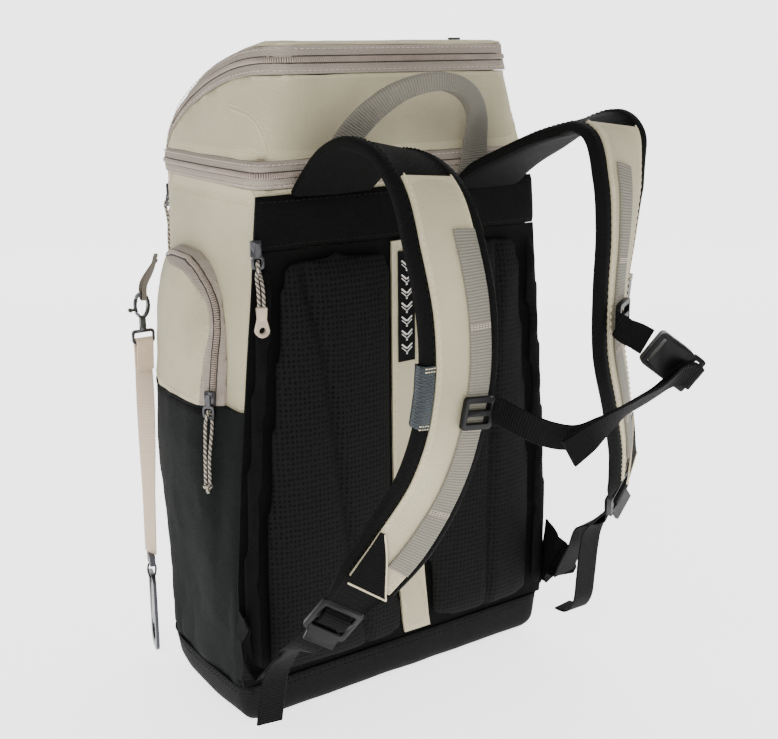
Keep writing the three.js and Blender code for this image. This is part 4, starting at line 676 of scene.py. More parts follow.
def sewn_strap(side, settings):
    """One shoulder strap: the padded body, its tan cover, the ladder webbing and the stitching."""
    finer = settings.finer
    tail = "_left" if side < 0 else "_right"
    way = strap_way(side, finer)
    held = [row for row in way if row["centre"].y < STRAP_FOOT - 0.2]
    pad = settle(skin("strap_padding" + tail, [pad_profile(row) for row in held]), "black_cloth", "strap_pad" + tail)
    cover = span_of(way, finer, 9, 23)
    rings = []
    for row in cover:
        inner, _, _, outer = strap_edges(row)
        rings.append(layer_profile(row, inner, outer, GAP, COVER_CLOTH))
    settle(skin("strap_face" + tail, rings), "tan_cloth", "strap_cover" + tail)
    ladder = span_of(way, finer, 11, 22)
    rings = []
    run = 0.0
    for index, row in enumerate(ladder):
        if index:
            run += (row["centre"] - ladder[index - 1]["centre"]).length
        _, low, high, _ = strap_edges(row)
        bow = 0.5 * abs(math.sin(math.pi * run / settings.tack_spacing))
        rings.append(layer_profile(row, low, high, 2 * GAP + COVER_CLOTH, WEBBING + bow))
    settle(skin("strap_webbing" + tail, rings), "grey_webbing", "strap_ladder" + tail)
    strap_stitches(cover, ladder, held, settings, tail)
    foot_patch(way, finer, tail)


def foot_patch(way, finer, tail):
    """A black reinforcement sewn slantwise over the foot of the cover, with a pale bound edge."""
    rows = span_of(way, finer, 21, 23.2)
    rings, slant = [], []
    for index, row in enumerate(rows):
        inner, _, _, outer = strap_edges(row)
        edge = outer - (outer - inner) * (0.08 + 0.92 * index / (len(rows) - 1)) * 0.97
        lift = 2 * GAP + COVER_CLOTH + 1.9 * index / (len(rows) - 1)
        rings.append(layer_profile(row, edge, outer + 0.5, lift, 0.9))
        slant.append((spot_on(row, edge, row["thick"] / 2 + lift + 0.9) * MM, row["out"]))
    settle(skin("foot_patch" + tail, rings), "black_cloth")
    last = rows[-1]
    inner, _, _, outer = strap_edges(last)
    height = last["thick"] / 2 + 2 * GAP + COVER_CLOTH + 2.8
    hem = [(spot_on(last, outer + (inner - outer) * share, height) * MM, last["out"]) for share in (0, 0.25, 0.5, 0.75, 1)]
    ribbon("foot_edge" + tail, slant, 1.3, 0.7, "pale_thread", 1.5)
    ribbon("foot_hem" + tail, hem, 1.3, 0.7, "pale_thread", 1.5)


def on_strap(rows, share, height):
    path = []
    for row in rows:
        inner, _, _, outer = strap_edges(row)
        a = share(row, inner, outer)
        path.append((spot_on(row, a, row["thick"] / 2 + height) * MM, row["out"]))
    return path


def strap_stitches(cover, ladder, held, settings, tail):
    seams = Pile()
    face = GAP + COVER_CLOTH + 0.1
    for share in (lambda row, inner, outer: inner + 1.8, lambda row, inner, outer: outer - 1.8):
        sew(seams, on_strap(cover, share, face), settings.stitch, settings.stitch + 1.6)
    seams.made("strap_seams" + tail, "pale_thread")
    binding = Pile()
    for share in (lambda row, inner, outer: outer + 1.6, lambda row, inner, outer: inner - 1.6):
        sew(binding, on_strap(held, share, 0.55), settings.stitch, settings.stitch + 1.6, 0.7)
    binding.made("binding_seams" + tail, "dark_thread")
    tacks = Pile()
    run = 0.0
    for before, row in zip(ladder, ladder[1:]):
        run += (row["centre"] - before["centre"]).length
        if run < settings.tack_spacing:
            continue
        run -= settings.tack_spacing
        _, low, high, _ = strap_edges(row)
        for line in (-1.2, 0, 1.2):
            for step in range(7):
                a = low + (high - low) * (step + 0.5) / 7
                place = spot_on(row, a, row["thick"] / 2 + 2 * GAP + COVER_CLOTH + WEBBING + 0.2)
                tacks.bar((place + row["tangent"] * line) * MM, row["across"], row["out"], (1.7, 0.8, 0.5))
    tacks.made("ladder_tacks" + tail, "tape_thread")


# Webbing and the handle

LOCK_LENGTH = 28.0
LOCK_THICK = 3.6
LOCK_WAY = [(1.3, -1.75), (0.43, -1.6), (0, -1.45), (-0.19, -0.6), (-0.15, 0.62), (0, 0.88), (0.15, 0.62), (0.2, -0.35), (0.3, -1), (0.6, -1.05)]
LOWER_ENDS = {
    -1: (
        [(-144, 37, 63, (1, 0.1, 0.2)), (-141.5, 48, 76, (1, 0.1, 0.2)), (-139, 61, 91, (1, 0.1, 0.2))],
        [(-140.5, 66, 92, (1, 0.1, 0.1)), (-142, 55, 79, (1, 0, 0)), (-144, 48.5, 66, (1, 0, 0)), (-146, 46, 48, (1, 0, -0.15)), (-148, 45, 29, (1, 0, -0.2))],
    ),
    1: (
        [(146, 31, 62, (1, 0, 0)), (141, 42, 79, (1, 0, 0)), (134.5, 58, 101, (1, 0, 0)), (128.5, 72, 123, (1, 0, 0))],
        [(127, 82, 124, (1, 0, 0)), (131, 74, 102, (1, 0, 0)), (136, 67, 75, (1, 0, 0)), (140, 60, 50, (1, 0, 0)), (141, 50, 38, (1, 0, 0)), (139, 38, 37, (1, 0, 0))],
    ),
}


def lower_band(side, settings):
    end = strap_way(side, 1)[-1]
    across = end["across"] * side
    start, tail = LOWER_ENDS[side]
    slide = LOCK_LENGTH / 2 + 0.8
    lock = [
        stop(end["centre"] + end["tangent"] * (slide + along * LOCK_LENGTH) + end["out"] * out * LOCK_THICK, across, 10.5, WEBBING)
        for along, out in LOCK_WAY
    ]
    stops = webbing_stops(start, 21) + lock + webbing_stops(tail, 21)
    suffix = "_left" if side < 0 else "_right"
    band("lower_band" + suffix, stops, (len(stops) - 1) * settings.finer, "black_webbing", "lower_webbing" + suffix)


PLUG_WAY = [(-8, 9.5, -4), (-3, 5, 0), (-0.4, 1, 0), (0, -2.4, 0), (2.6, -4.6, 0), (5.6, -3, 0), (6.2, 0.5, 0), (4.6, 5.4, 0), (-2, 9, 0), (-7, 13, -4)]
LEFT_CHEST = [(-41.5, 186, 269.5, (0, 0, 1)), (-32, 199, 264.5, (0, -0.1, 1)), (-19.5, 207.5, 262.5, (0, -0.25, 1)), (-5, 211, 267, (0, -0.5, 1)), (15.5, 213, 275, (0, -1, 1)), (38, 214, 281.5, (0, -0.9, 1))]
CHEST_TAIL = [(38, 221, 284.5, (0, -0.9, 1)), (14.2, 221, 278.5, (0, -0.8, 1)), (-3.6, 218.5, 269.5, (0, -0.3, 1)), (-15.4, 216, 262, (0.2, 0, 1)), (-28.2, 213.5, 255, (0.4, 0, 1), 1.1, 2)]
RIGHT_CHEST = [(44, 187, 316.5, (0, 0, 1)), (46.5, 193.5, 314.5, (0.1, 0, 1)), (50.6, 199.5, 311, (0.5, -0.3, 0.8))]


def slider_rows(side, place):
    way = strap_way(side, 1)
    near, far = way[int(place)], way[int(place) + 1]
    share = place % 1
    across, tangent, out = (near[key].lerp(far[key], share).normalized() for key in ("across", "tangent", "out"))
    _, low, high, _ = strap_edges(near)
    centre = near["centre"].lerp(far["centre"], share) + across * (low + high) / 2
    centre += out * (STRAP_THICK / 2 + 2 * GAP + COVER_CLOTH + WEBBING + GAP + 1.7)
    rows = []
    for index, reach in enumerate((12.3, 17.3)):
        spot = centre - across * reach + out * index
        rows.append((spot.x, BACK - spot.y, spot.z, tuple(-tangent)))
    return rows


def chest_bands(settings):
    start, end = Vector((51.5, BACK - 200.5, 310)), Vector((69.5, BACK - 214.5, 293))
    tangent = (end - start).normalized()
    across = (LIFT - tangent * tangent.z).normalized()
    out = tangent.cross(across).normalized()
    round_plug = []
    for slide, lift, over in PLUG_WAY:
        place = start + tangent * (1 + 26 + 0.3 + 9 * 0.51 + slide) + out * lift + across * over
        round_plug.append((place.x, BACK - place.y, place.z, tuple(across), 0.93, 1))
    left = slider_rows(-1, 16.5) + LEFT_CHEST + round_plug + CHEST_TAIL
    band("chest_band_left", webbing_stops(left, 18), 44 * settings.finer // 2, "black_webbing", "sternum_webbing_left")
    return slider_rows(1, 16.3) + RIGHT_CHEST


HANDLE_ROWS = [
    (1, 1, 0, 0.035, 1, 1, 0),
    (1, 1, 0.06, 0.105, 1, 1, 0),
    (1, 1, 0.18, 0.14, 1, 1, 0),
    (0.985, 0.93, 0.36, 0.2, 0.95, 1, 8),
    (0.93, 0.81, 0.56, 0.36, 0.86, 1.8, 22),
    (0.76, 0.61, 0.77, 0.62, 0.66, 4.6, 48),
    (0.46, 0.34, 0.93, 0.86, 0.54, 6.8, 72),
    (0.06, 0, 1, 1, 0.52, 7, 90),
]


def handle_stops():
    def at_row(row, side, share):
        _, _, rise, out, wide, deep, turn = row
        turn = math.radians(turn)
        place = (side * share * 62, BACK - out * 36, 397.2 + rise * 73)
        return stop(place, (side * math.cos(turn), 0, math.sin(turn)), wide * 12.5, deep * WEBBING)

    right = [at_row(row, 1, row[0]) for row in HANDLE_ROWS]
    left = [at_row(row, -1, row[1]) for row in HANDLE_ROWS[:-1]]
    return right + left[::-1]


def handle_profile(row):
    half, deep = row["half"], row["thick"] / 2
    made = []
    for index in range(16):
        angle = 2 * math.pi * index / 16
        a, n = math.cos(angle), math.sin(angle)
        power = 0.42
        made.append(spot_on(row, half * math.copysign(abs(a) ** power, a), deep * math.copysign(abs(n) ** power, n)))
    return made


def carry_handle(settings):
    rows = frames(handle_stops(), 24 * settings.finer)
    settle(skin("handle_band", [handle_profile(row) for row in rows]), "grey_webbing", "grab_handle")


# The lanyard

LANYARD_X = -149.0
LANYARD_Y = BACK + 137
RING_CENTRE = 300.5
EYE_BAR = RING_CENTRE - 10.5 - 18.55
STRAP_LOW = EYE_BAR - 180


def lanyard_stops():
    def at_height(z, shift, turn):
        angle = math.radians(75 * turn)
        out = BACK - LANYARD_Y - 14 * (EYE_BAR - z) / EYE_BAR
        return (LANYARD_X, out + shift, z, (math.cos(angle), -math.sin(angle), 0))

    middle = [EYE_BAR + (STRAP_LOW - EYE_BAR) * share for share in (0.4, 0.7)]
    rows = [at_height(EYE_BAR - 22, 2.6, 0), at_height(EYE_BAR - 8, 2.7, 0), at_height(EYE_BAR + 0.9, 2.6, 0)]
    rows += [at_height(EYE_BAR + 3.2, 0, 0), at_height(EYE_BAR + 0.9, -2.6, 0), at_height(EYE_BAR - 8, -2.4, 0)]
    rows += [at_height(EYE_BAR - 26, -1.2, 0.1), at_height(middle[0], 0, 0.5), at_height(middle[1], 0, 0.9), at_height(STRAP_LOW, 0, 1)]
    return webbing_stops(rows, 14, 1.2)


def lanyard_loop_stops():
    x, out, high, low = LANYARD_X + 1.6, BACK - LANYARD_Y, 311, RING_CENTRE + 3.99
    rows = [
        (x + 13, out - 1, high + 28, (0.6, -0.8, 0.3)),
        (x + 7, out + 3, high + 17, (0.8, -0.5, 0.3)),
        (x + 0.5, out + 3.4, high + 5, (1, 0, 0)),
        (x, out + 2.9, low + 3, (1, 0, 0)),
        (x, out + 1.9, low + 0.3, (1, 0, 0)),
        (x, out, low, (1, 0, 0)),
        (x, out - 1.9, low + 0.3, (1, 0, 0)),
        (x, out - 2.9, low + 3, (1, 0, 0)),
        (x + 0.5, out - 3.4, high + 5, (1, 0, 0)),
        (x + 8, out - 4.5, high + 15, (0.8, -0.5, 0.3)),
        (x + 15, out - 5, high + 23, (0.6, -0.8, 0.3)),
    ]
    return webbing_stops(rows, 3.6, 1)


# Pull cords: node, place, facing, lift, drop, stand, far end and the pieces on it

CORDS = [
    ("back_cord", (-125.5, BACK - 3.2, BAND_LOW + 4), (-0.25, -1, 0), 7, 38, 6.5, "fitting", ["back_pull_end"]),
    ("front_cord", None, (-0.75, 0.66, 0), 5, 50, 0.5, "fitting", ["front_pull_end"]),
    ("side_cord_left", None, (-0.8, -0.6, 0), 5, 62, 6, "knot", []),
    ("side_cord_right", None, (0.8, -0.6, 0), 5, 62, 6, "knot", []),
]
CORD_RADIUS = 1.2
RING_DROP = 9.0


def cord_points(lift, drop, stand):
    apart, rise, low = 1.65, 3.0, lift + stand
    mixed = lift + (low - lift) * 0.85
    return [
        (-apart, -drop, low),
        (-apart, -drop * 0.7, mixed),
        (-apart, -RING_DROP - 8, lift + rise * 0.8),
        (-0.5, -RING_DROP - 3.6, lift + rise),
        (0, -RING_DROP + 0.9, lift),
        (0.5, -RING_DROP - 3.6, lift - rise),
        (apart, -RING_DROP - 8, lift - rise * 0.5),
        (apart, -drop * 0.7, mixed),
        (apart, -drop, low),
    ]


def slider_place(node, facing, lift):
    """Where a cord's slider sits, found from the slider's own solid, whose body starts 0.5 mm out."""
    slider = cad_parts[node.replace("cord", "slider")]
    out = Vector(facing).normalized()
    across = LIFT.cross(out).normalized()
    spots = [vert.co / MM for vert in slider.data.vertices]
    rows = [[way.dot(spot) for spot in spots] for way in (across, LIFT, out)]
    middle = (min(rows[0]) + max(rows[0])) / 2
    return across * middle + LIFT * (max(rows[1]) - 5.5) + out * (min(rows[2]) - 0.5)


def pull_cord(row, settings):
    node, place, facing, lift, drop, stand, far_end, pieces = row
    out = Vector(facing).normalized()
    across = LIFT.cross(out).normalized()
    origin = Vector(place) if place else slider_place(node, facing, lift)
    drawn = [Vector(point) for point in cord_points(lift, drop, stand)]
    steps = 16 * settings.finer
    path = []
    for index in range(steps + 1):
        x, y, z = spline_at(drawn, index / steps)
        path.append(origin + across * x + LIFT * y + out * z)
    rings = []
    side = across
    for index, spot in enumerate(path):
        tangent = (path[min(steps, index + 1)] - path[max(0, index - 1)]).normalized()
        side = (side - tangent * side.dot(tangent)).normalized()
        other = tangent.cross(side)
        ring = []
        for corner in range(10):
            angle = 2 * math.pi * corner / 10
            ring.append(spot + (side * math.cos(angle) + other * math.sin(angle)) * CORD_RADIUS)
        rings.append(ring)
    obj = settle(skin(node + "_twist", rings), "flecked_cord", node)
    knots = [cord_knot(node, origin, across, out, lift + stand, drop)] if far_end == "knot" else pieces


def cord_knot(node, origin, across, out, low, drop):
    """An overhand knot, drawn as a closed knotted tube."""
    centre = origin + LIFT * (-drop - 2.4) + out * low
    rings = []
    for index in range(49):
        angle = 2 * math.pi * index / 48
        x = 1.5 * math.sin(angle) + 1.1 * math.sin(2 * angle)
        y = 1.9 * math.cos(angle) - 1.0 * math.cos(2 * angle)
        z = -1.3 * math.sin(3 * angle)
        rings.append((centre + across * x + LIFT * y + out * z, angle))
    tube = []
    for index, (spot, _) in enumerate(rings):
        tangent = (rings[(index + 1) % 48][0] - rings[(index - 1) % 48][0]).normalized()
        side = out.cross(tangent).normalized()
        other = tangent.cross(side)
        tube.append([spot + (side * math.cos(a) + other * math.sin(a)) * 1.3 for a in (k * math.pi / 4 for k in range(8))])
    return settle(skin(node + "_knot", tube), "flecked_cord")


# The sewn walls


def side_folds(point, normal):
    """Broad slanting folds in the stretch cloth, which drop from the pocket to the corner."""
    if abs(normal.x) < 0.2:
        return 0.0
    slant = point.y + 0.35 * (point.z - 140)
    return 1.0 * math.sin(slant / 11 + 1.2 * math.sin(point.z / 60)) * max(0.0, min(1.0, (215 - point.z) / 90))


def tub_walls(settings):
    step = settings.cut / MM
    easy = settings.fold / MM
    body = dressed("body_shell", "tan_cloth", [(easy * 1.1, 60, 90, 3), (easy * 0.4, 17, 24, 7)], step)
    boot = dressed("base_boot", "boot_cloth", [(easy * 0.5, 30, 20, 5)], step)
    hood = dressed("lid_hood", "tan_cloth", [(easy * 0.8, 50, 50, 11), (easy * 0.4, 18, 18, 2)], step)
    lid = dressed("lid_top", "tan_cloth", [(easy * 0.7, 50, 50, 13), (easy * 0.3, 16, 16, 4)], step)
    seams = Pile()
    trees = {"body": tree_of(body), "boot": tree_of(boot), "hood": tree_of(hood), "lid": tree_of(lid)}
    for z in (392.5, 388.0):
        sew(seams, ringed(trees["body"], z, -32, 212), settings.stitch / MM, 4.6, 0.8)
    for side in (-1, 1):
        for run in (0, 1):
            rows = [(side * (150 if run else 144), 60 - run * 4, z) for z in range(46, 386, 6)]
            sew(seams, snapped(rows, trees["body"]), settings.stitch / MM, 4.6, 0.8)
    sew(seams, ringed(trees["hood"], LID_FOOT + 4, -32, 212), settings.stitch / MM, 4.6, 0.8)
    for side in (-1, 1):
        rows = [(side * (110 + 7 * (z - 422) / 54), -300, z) for z in range(424, 477, 4)]
        line = [found for found in (cast(trees["hood"], row, (0, 1, 0)) for row in rows) if found]
        ribbon("lid_seam" + ("_left" if side < 0 else "_right"), line, 2.2, 0.5, "tan_cloth")
        sew(seams, shifted(line, 3 * side), settings.stitch / MM, 4.6, 0.8)
    seams.made("wall_seams", "pale_thread")
    boot_seams = Pile()
    for z in (30.5, 27.0):
        sew(boot_seams, ringed(trees["boot"], z, -180, 180), settings.stitch / MM, 4.6, 0.8)
    boot_seams.made("boot_seams", "dark_thread")
    ribbon("boot_edge", ringed(trees["boot"], 33.2, -180, 180), 2.6, 0.9, "black_cloth")


def pockets(settings):
    step = settings.cut / MM
    easy = settings.fold / MM
    for side, tail in ((-1, "_left"), (1, "_right")):
        pocket = dressed("side_pocket" + tail, "tan_cloth", [(easy * 0.9, 34, 40, 17 + side), (easy * 0.4, 14, 14, 6)], step * 0.6)
        stretch = dressed("stretch_panel" + tail, "stretch_cloth", [(easy * 1.0, 26, 60, 21 + side), (easy * 0.5, 12, 16, 8)], step * 0.7, extra=side_folds)
        tree = tree_of(pocket)
        seams = Pile()
        rows = [(side * 170, y, 248.5) for y in range(-50, 78, 4)]
        sew(seams, [found for found in (cast(tree, row, (-side, 0, 0)) for row in rows) if found], settings.stitch / MM, 4.6)
        seams.made("pocket_seams" + tail, "pale_thread")
        tree = tree_of(stretch)
        hem = [found for found in (cast(tree, (side * 200, y, 240.5), (-side, 0, 0)) for y in range(-56, 78, 3)) if found]
        ribbon("stretch_hem" + tail, hem, 5.0, 0.7, "black_cloth")
        wing = dressed("anchor_wing" + tail, "black_cloth", [(0.3, 12, 12, 9)], 4.0, relax=2)
        edge = Pile()
        rows = [(side * (146 + 6), BACK - out, z) for out, z in ((2, 78), (8, 77), (14, 75), (22, 72))]
        sew(edge, snapped(rows, tree_of(wing)), 2.4, 3.6)
        edge.made("wing_seam" + tail, "dark_thread")


def zip_line(tree, starts, ways):
    return [found for found in (cast(tree, start, way) for start, way in zip(starts, ways)) if found]


def zip_teeth(name, path, settings):
    """A zip's middle: a dark strip of painted shadow, which shows as dark lines along both sides of the coil, with a
    row of small coil turns on it.
    """
    ribbon(name + "_bed", path, 6.4, 0.35, "coil_bed", 4.0)
    teeth = Pile()
    for place, along, normal in paced(path, settings.pitch / MM):
        side = normal.cross(along).normalized()
        teeth.bar(place + normal * 0.8 * MM, side, normal, (3.9, 1.3, 1.1))
    teeth.made(name + "_coil", "coil")


def shifted(path, amount):
    """A line moved sideways on its surface."""
    moved = []
    for index, (place, normal) in enumerate(path):
        ahead = path[min(len(path) - 1, index + 1)][0] - path[max(0, index - 1)][0]
        moved.append((place + normal.cross(ahead.normalized()).normalized() * amount * MM, normal))
    return moved


def lid_arch(side, steps=60):
    """The middle of the top zip on one side, from the front up and back to the rear."""
    starts = []
    front, top = 6.5 + 9.5, 2.5 + 9.5
    for index in range(steps + 1):
        rise = math.sin(index / steps * math.pi / 2)
        reach = max(0.0, 1 - rise**1.39) ** 0.455
        starts.append((side * 300, BACK + reach * (168 - front), LID_FOOT + rise * (LID_RISE - top)))
    return starts


def tape_middle(tree, side, centre, angle):
    """The middle of the side zip's tape, on a line out from a centre at an angle in side view."""
    y, z = math.cos(angle), math.sin(angle)
    way = Vector((-side * 0.8, -0.6 * y, -0.6 * z))
    found = []
    for step in range(70, 300):
        reach = step / 3
        aim = Vector((side * 135, centre[0] + reach * y, centre[1] + reach * z))
        hit = cast(tree, aim - way * 120, way)
        if hit and hit[1].dot(way) < -0.1 and abs(hit[0].x) > 0.118:
            found.append(hit)
    return found[len(found) // 2] if len(found) > 6 else None


def side_arch(tree, side):
    """The middle of a side zip, up behind the pocket, over it and a little way down in front."""
    rays = [((0, z), math.pi) for z in range(249, 296, 3)]
    rays += [((0, 296), math.pi - index * math.pi / 64) for index in range(52)]
    return [found for found in (tape_middle(tree, side, *ray) for ray in rays) if found]


def zips(settings):
    piece = dressed("main_zip", "zip_tape", [(0.35, 30, 30, 31)], 7.0, relax=2)
    tree = tree_of(piece)
    main = ringed(tree, BODY_HEIGHT + 9.5, -90, 270, 420)
    zip_teeth("main_zip", main, settings)
    piece = dressed("top_zip", "zip_tape", [(0.35, 30, 30, 33)], 7.0, relax=2)
    tree = tree_of(piece)
    edges = Pile()
    top = []
    for side in (1, -1):
        starts = lid_arch(side)
        arch = zip_line(tree, starts, [(-side, 0, 0)] * len(starts))
        top += arch if side > 0 else arch[::-1]
        if side > 0:
            starts = [(x, -300, LID_FOOT + LID_RISE - 12) for x in range(92, -93, -4)]
            top += zip_line(tree, starts, [(0, 1, 0)] * len(starts))
    zip_teeth("top_zip", top, settings)
    for line in (main, top):
        for amount in (-7.2, 7.2):
            sew(edges, shifted(line, amount), settings.stitch / MM, 4.4, 0.7)
    for side, tail in ((-1, "_left"), (1, "_right")):
        piece = dressed("side_zip" + tail, "zip_tape", [(0.4, 20, 20, 35)], 5.0, relax=2)
        tree = tree_of(piece)
        line = side_arch(tree, side)
        zip_teeth("side_zip" + tail, line, settings)
    edges.made("tape_seams", "tape_thread")


# The padded back

PAD_SEAMS = {
    -1: [(-88.9, 330), (-77.8, 284), (-66.7, 197), (-58.4, 131), (-38.1, 41)],
    1: [(84, 350), (78, 250), (76.3, 157), (78.9, 45)],
}


def seam_x(side, z):
    rows = PAD_SEAMS[side]
    for (x0, z0), (x1, z1) in zip(rows, rows[1:]):
        if z >= z1:
            share = min(1.0, max(0.0, (z0 - z) / (z0 - z1)))
            return x0 + (x1 - x0) * share
    return rows[-1][0]


def puffed(node, settings):
    """A padded piece, swollen by a cloth simulation from its plain solid, and held at its back."""
    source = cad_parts[node]
    obj = bpy.data.objects.new(node + "_padding", source.data.copy())
    bpy.context.collection.objects.link(obj)
    remesh = obj.modifiers.new("even", "REMESH")
    remesh.mode = "VOXEL"
    remesh.voxel_size = settings.voxel
    applied(obj)
    start = [vert.co.copy() for vert in obj.data.vertices]
    group = obj.vertex_groups.new(name="held")
    held = [vert.index for vert in obj.data.vertices if vert.co.y > (PANEL_FACE - GAP - 2.5) * MM]
    group.add(held, 1.0, "REPLACE")
    cloth = obj.modifiers.new("swell", "CLOTH")
    cloth.settings.use_pressure = True
    cloth.settings.uniform_pressure_force = settings.pressure
    cloth.settings.vertex_group_mass = "held"
    cloth.settings.effector_weights.gravity = 0
    cloth.settings.quality = 5
    for index in range(1, 21):
        bpy.context.scene.frame_set(index)
    applied(obj)
    bpy.context.scene.frame_set(1)
    cap = settings.swell
    for vert, before in zip(obj.data.vertices, start):
        move = vert.co - before
        if move.length > cap:
            vert.co = before + move.normalized() * cap
    even = obj.modifiers.new("eased", "SMOOTH")
    even.factor = 0.5
    even.iterations = 12
    smooth = obj.modifiers.new("finer", "SUBSURF")
    smooth.levels = smooth.render_levels = 1
    applied(obj)
    return obj


def applied(obj):
    bpy.context.view_layer.update()
    seen = obj.evaluated_get(bpy.context.evaluated_depsgraph_get())
    mesh = bpy.data.meshes.new_from_object(seen)
    obj.modifiers.clear()
    obj.data = mesh


def kept_off(obj, face):
    """Keeps a pad off the panel behind it."""
    for vert in obj.data.vertices:
        vert.co.y = min(vert.co.y, face * MM)


def quilted(obj, side, settings):
    """Presses the slanting seam into a pad."""
    width, depth = settings.seam_width / MM, settings.seam_depth / MM
    for vert in obj.data.vertices:
        x, y, z = vert.co / MM
        if y > PANEL_FACE - 4:
            continue
        away = (x - seam_x(side, z)) / width
        vert.co.y += min(depth, PANEL_FACE - 3 - y) * math.exp(-away * away) * MM


def back_pads(settings):
    for side, tail in ((-1, "_left"), (1, "_right")):
        pad = puffed("mesh_pad" + tail, settings)
        kept_off(pad, PANEL_FACE - 0.2)
        quilted(pad, side, settings)
        settle(pad, "spacer_mesh", "mesh_pad" + tail, sharp=80)
        roll = puffed("edge_roll" + tail, settings)
        kept_off(roll, PANEL_FACE - 0.2)
        settle(roll, "black_cloth", "edge_roll" + tail, sharp=80)
        seams = Pile()
        tree = tree_of(pad)
        rows = [(seam_x(side, z), z) for z in range(int(PAD_LOW) + 8, int(PAD_HIGH) - 8, 4)]
        line = [found for found in (cast(tree, (x, -300, z), (0, 1, 0)) for x, z in rows) if found]
        for amount in (-1.6, 1.6):
            sew(seams, shifted(line, amount), 2.8, 4.2, 0.7)
        seams.made("pad_seams" + tail, "dark_thread")


def back_panels(settings):
    panel = dressed("back_panel", "black_cloth", [(0.4, 40, 40, 41)], 10.0, relax=1)
    belt = dressed("back_band", "black_cloth", [(0.5, 30, 24, 43)], 7.0, relax=2)
    strip = dressed("centre_strip", "tan_cloth", [(0.35, 14, 22, 45)], 5.0, relax=1)
    label = dressed("strip_label", "label", [(0.1, 10, 10, 47)], 5.0, relax=0)
    seams = Pile()
    tree = tree_of(belt)
    for z in (BAND_TOP - 4, BAND_LOW + 4):
        rows = [(x, -300, z) for x in range(-118, 119, 4)]
        sew(seams, zip_line(tree, rows, [(0, 1, 0)] * len(rows)), 3.0, 4.6)
    seams.made("band_seams", "dark_thread")
    tree = tree_of(strip)
    seams = Pile()
    for edge in (-10.2, 10.2):
        rows = [(strip_middle(z) + edge, -300, z) for z in range(int(PAD_LOW) + 3, int(PAD_HIGH) - 2, 4)]
        sew(seams, zip_line(tree, rows, [(0, 1, 0)] * len(rows)), 2.8, 4.2, 0.7)
    seams.made("strip_seams", "pale_thread")
    label_marks(tree_of(label))


def strip_middle(z):
    share = (z - PAD_LOW) / (PAD_HIGH - PAD_LOW)
    rows = [(0, 0.52), (0.14, 0.2), (0.42, 0.06), (1, 0)]
    for (h0, s0), (h1, s1) in zip(rows, rows[1:]):
        if share <= h1:
            return (s0 + (s1 - s0) * max(0.0, share - h0) / (h1 - h0)) * 25
    return 0.0


def label_marks(tree):
    """A plain woven pattern on the label: stacked chevrons, with a dot between each pair."""
    marks = Pile()
    face = Vector((0, -1, 0))

    def mark(x, z, way, size):
        found = cast(tree, (x, -300, z), (0, 1, 0))
        if found:
            marks.bar(found[0] + face * 0.15 * MM, Vector(way), face, size)

    for row in range(7):
        z = 338 - row * 10.6
        middle = strip_middle(z)
        for side in (-1, 1):
            mark(middle + side * 2.5, z + 1.2, (side * 0.78, 0, 0.62), (6.0, 1.3, 0.4))
            mark(middle + side * 2.5, z - 1.4, (side * 0.78, 0, 0.62), (6.0, 0.7, 0.4))
        mark(middle, z - 4.4, (1, 0, 0), (1.5, 1.5, 0.4))
    marks.made("label_pattern", "label_print")


# Hard pieces

HARD = [
    ("buckle_socket", "black_plastic", 0.7),
    ("buckle_plug", "black_plastic", 0.5),
    ("ladder_lock_left", "black_plastic", 0.5),
    ("ladder_lock_right", "black_plastic", 0.5),
    ("sternum_slider_left", "black_plastic", 0.45),
    ("sternum_slider_right", "black_plastic", 0.45),
    ("back_slider", "dark_steel", 0.3),
    ("front_slider", "dark_steel", 0.3),
    ("side_slider_left", "dark_steel", 0.3),
    ("side_slider_right", "dark_steel", 0.3),
    ("top_pull", "dark_steel", 0.3),
    ("clasp_hook", "dark_steel", 0.3),
    ("lanyard_joiner", "gunmetal", 0.25),
    ("bottle_opener", "gunmetal", 0.4),
    ("back_pull_end", "moulded_end", 0.7),
    ("front_pull_end", "moulded_end", 0.7),
]


def edge_tabs():
    """The folded reflective loops on the straps' outer edges, sewn at both ends."""
    for tail in ("_left", "_right"):
        dressed("edge_loop" + tail, "reflective_tape", [(0.15, 10, 10, 51)], 4.0, relax=1)
        way = strap_way(-1 if tail == "_left" else 1, 1)
        rows = Pile()
        for first, last in ((14, 15), (16, 17)):
            for share in (0.06, 0.16) if first == 14 else (0.84, 0.94):
                near, far = way[first + 1 if first == 14 else first], way[last + 1 if first == 14 else last]
                for step in range(4):
                    centre = near["centre"].lerp(far["centre"], share)
                    place = centre + near["across"] * (near["half"] - 5.8 + step * 1.9) + near["out"] * (near["thick"] / 2 + 2.0)
                    rows.bar(place * MM, near["across"], near["out"], (1.5, 0.9, 0.7))
        rows.made("loop_tacks" + tail, "pale_thread")


# Stage


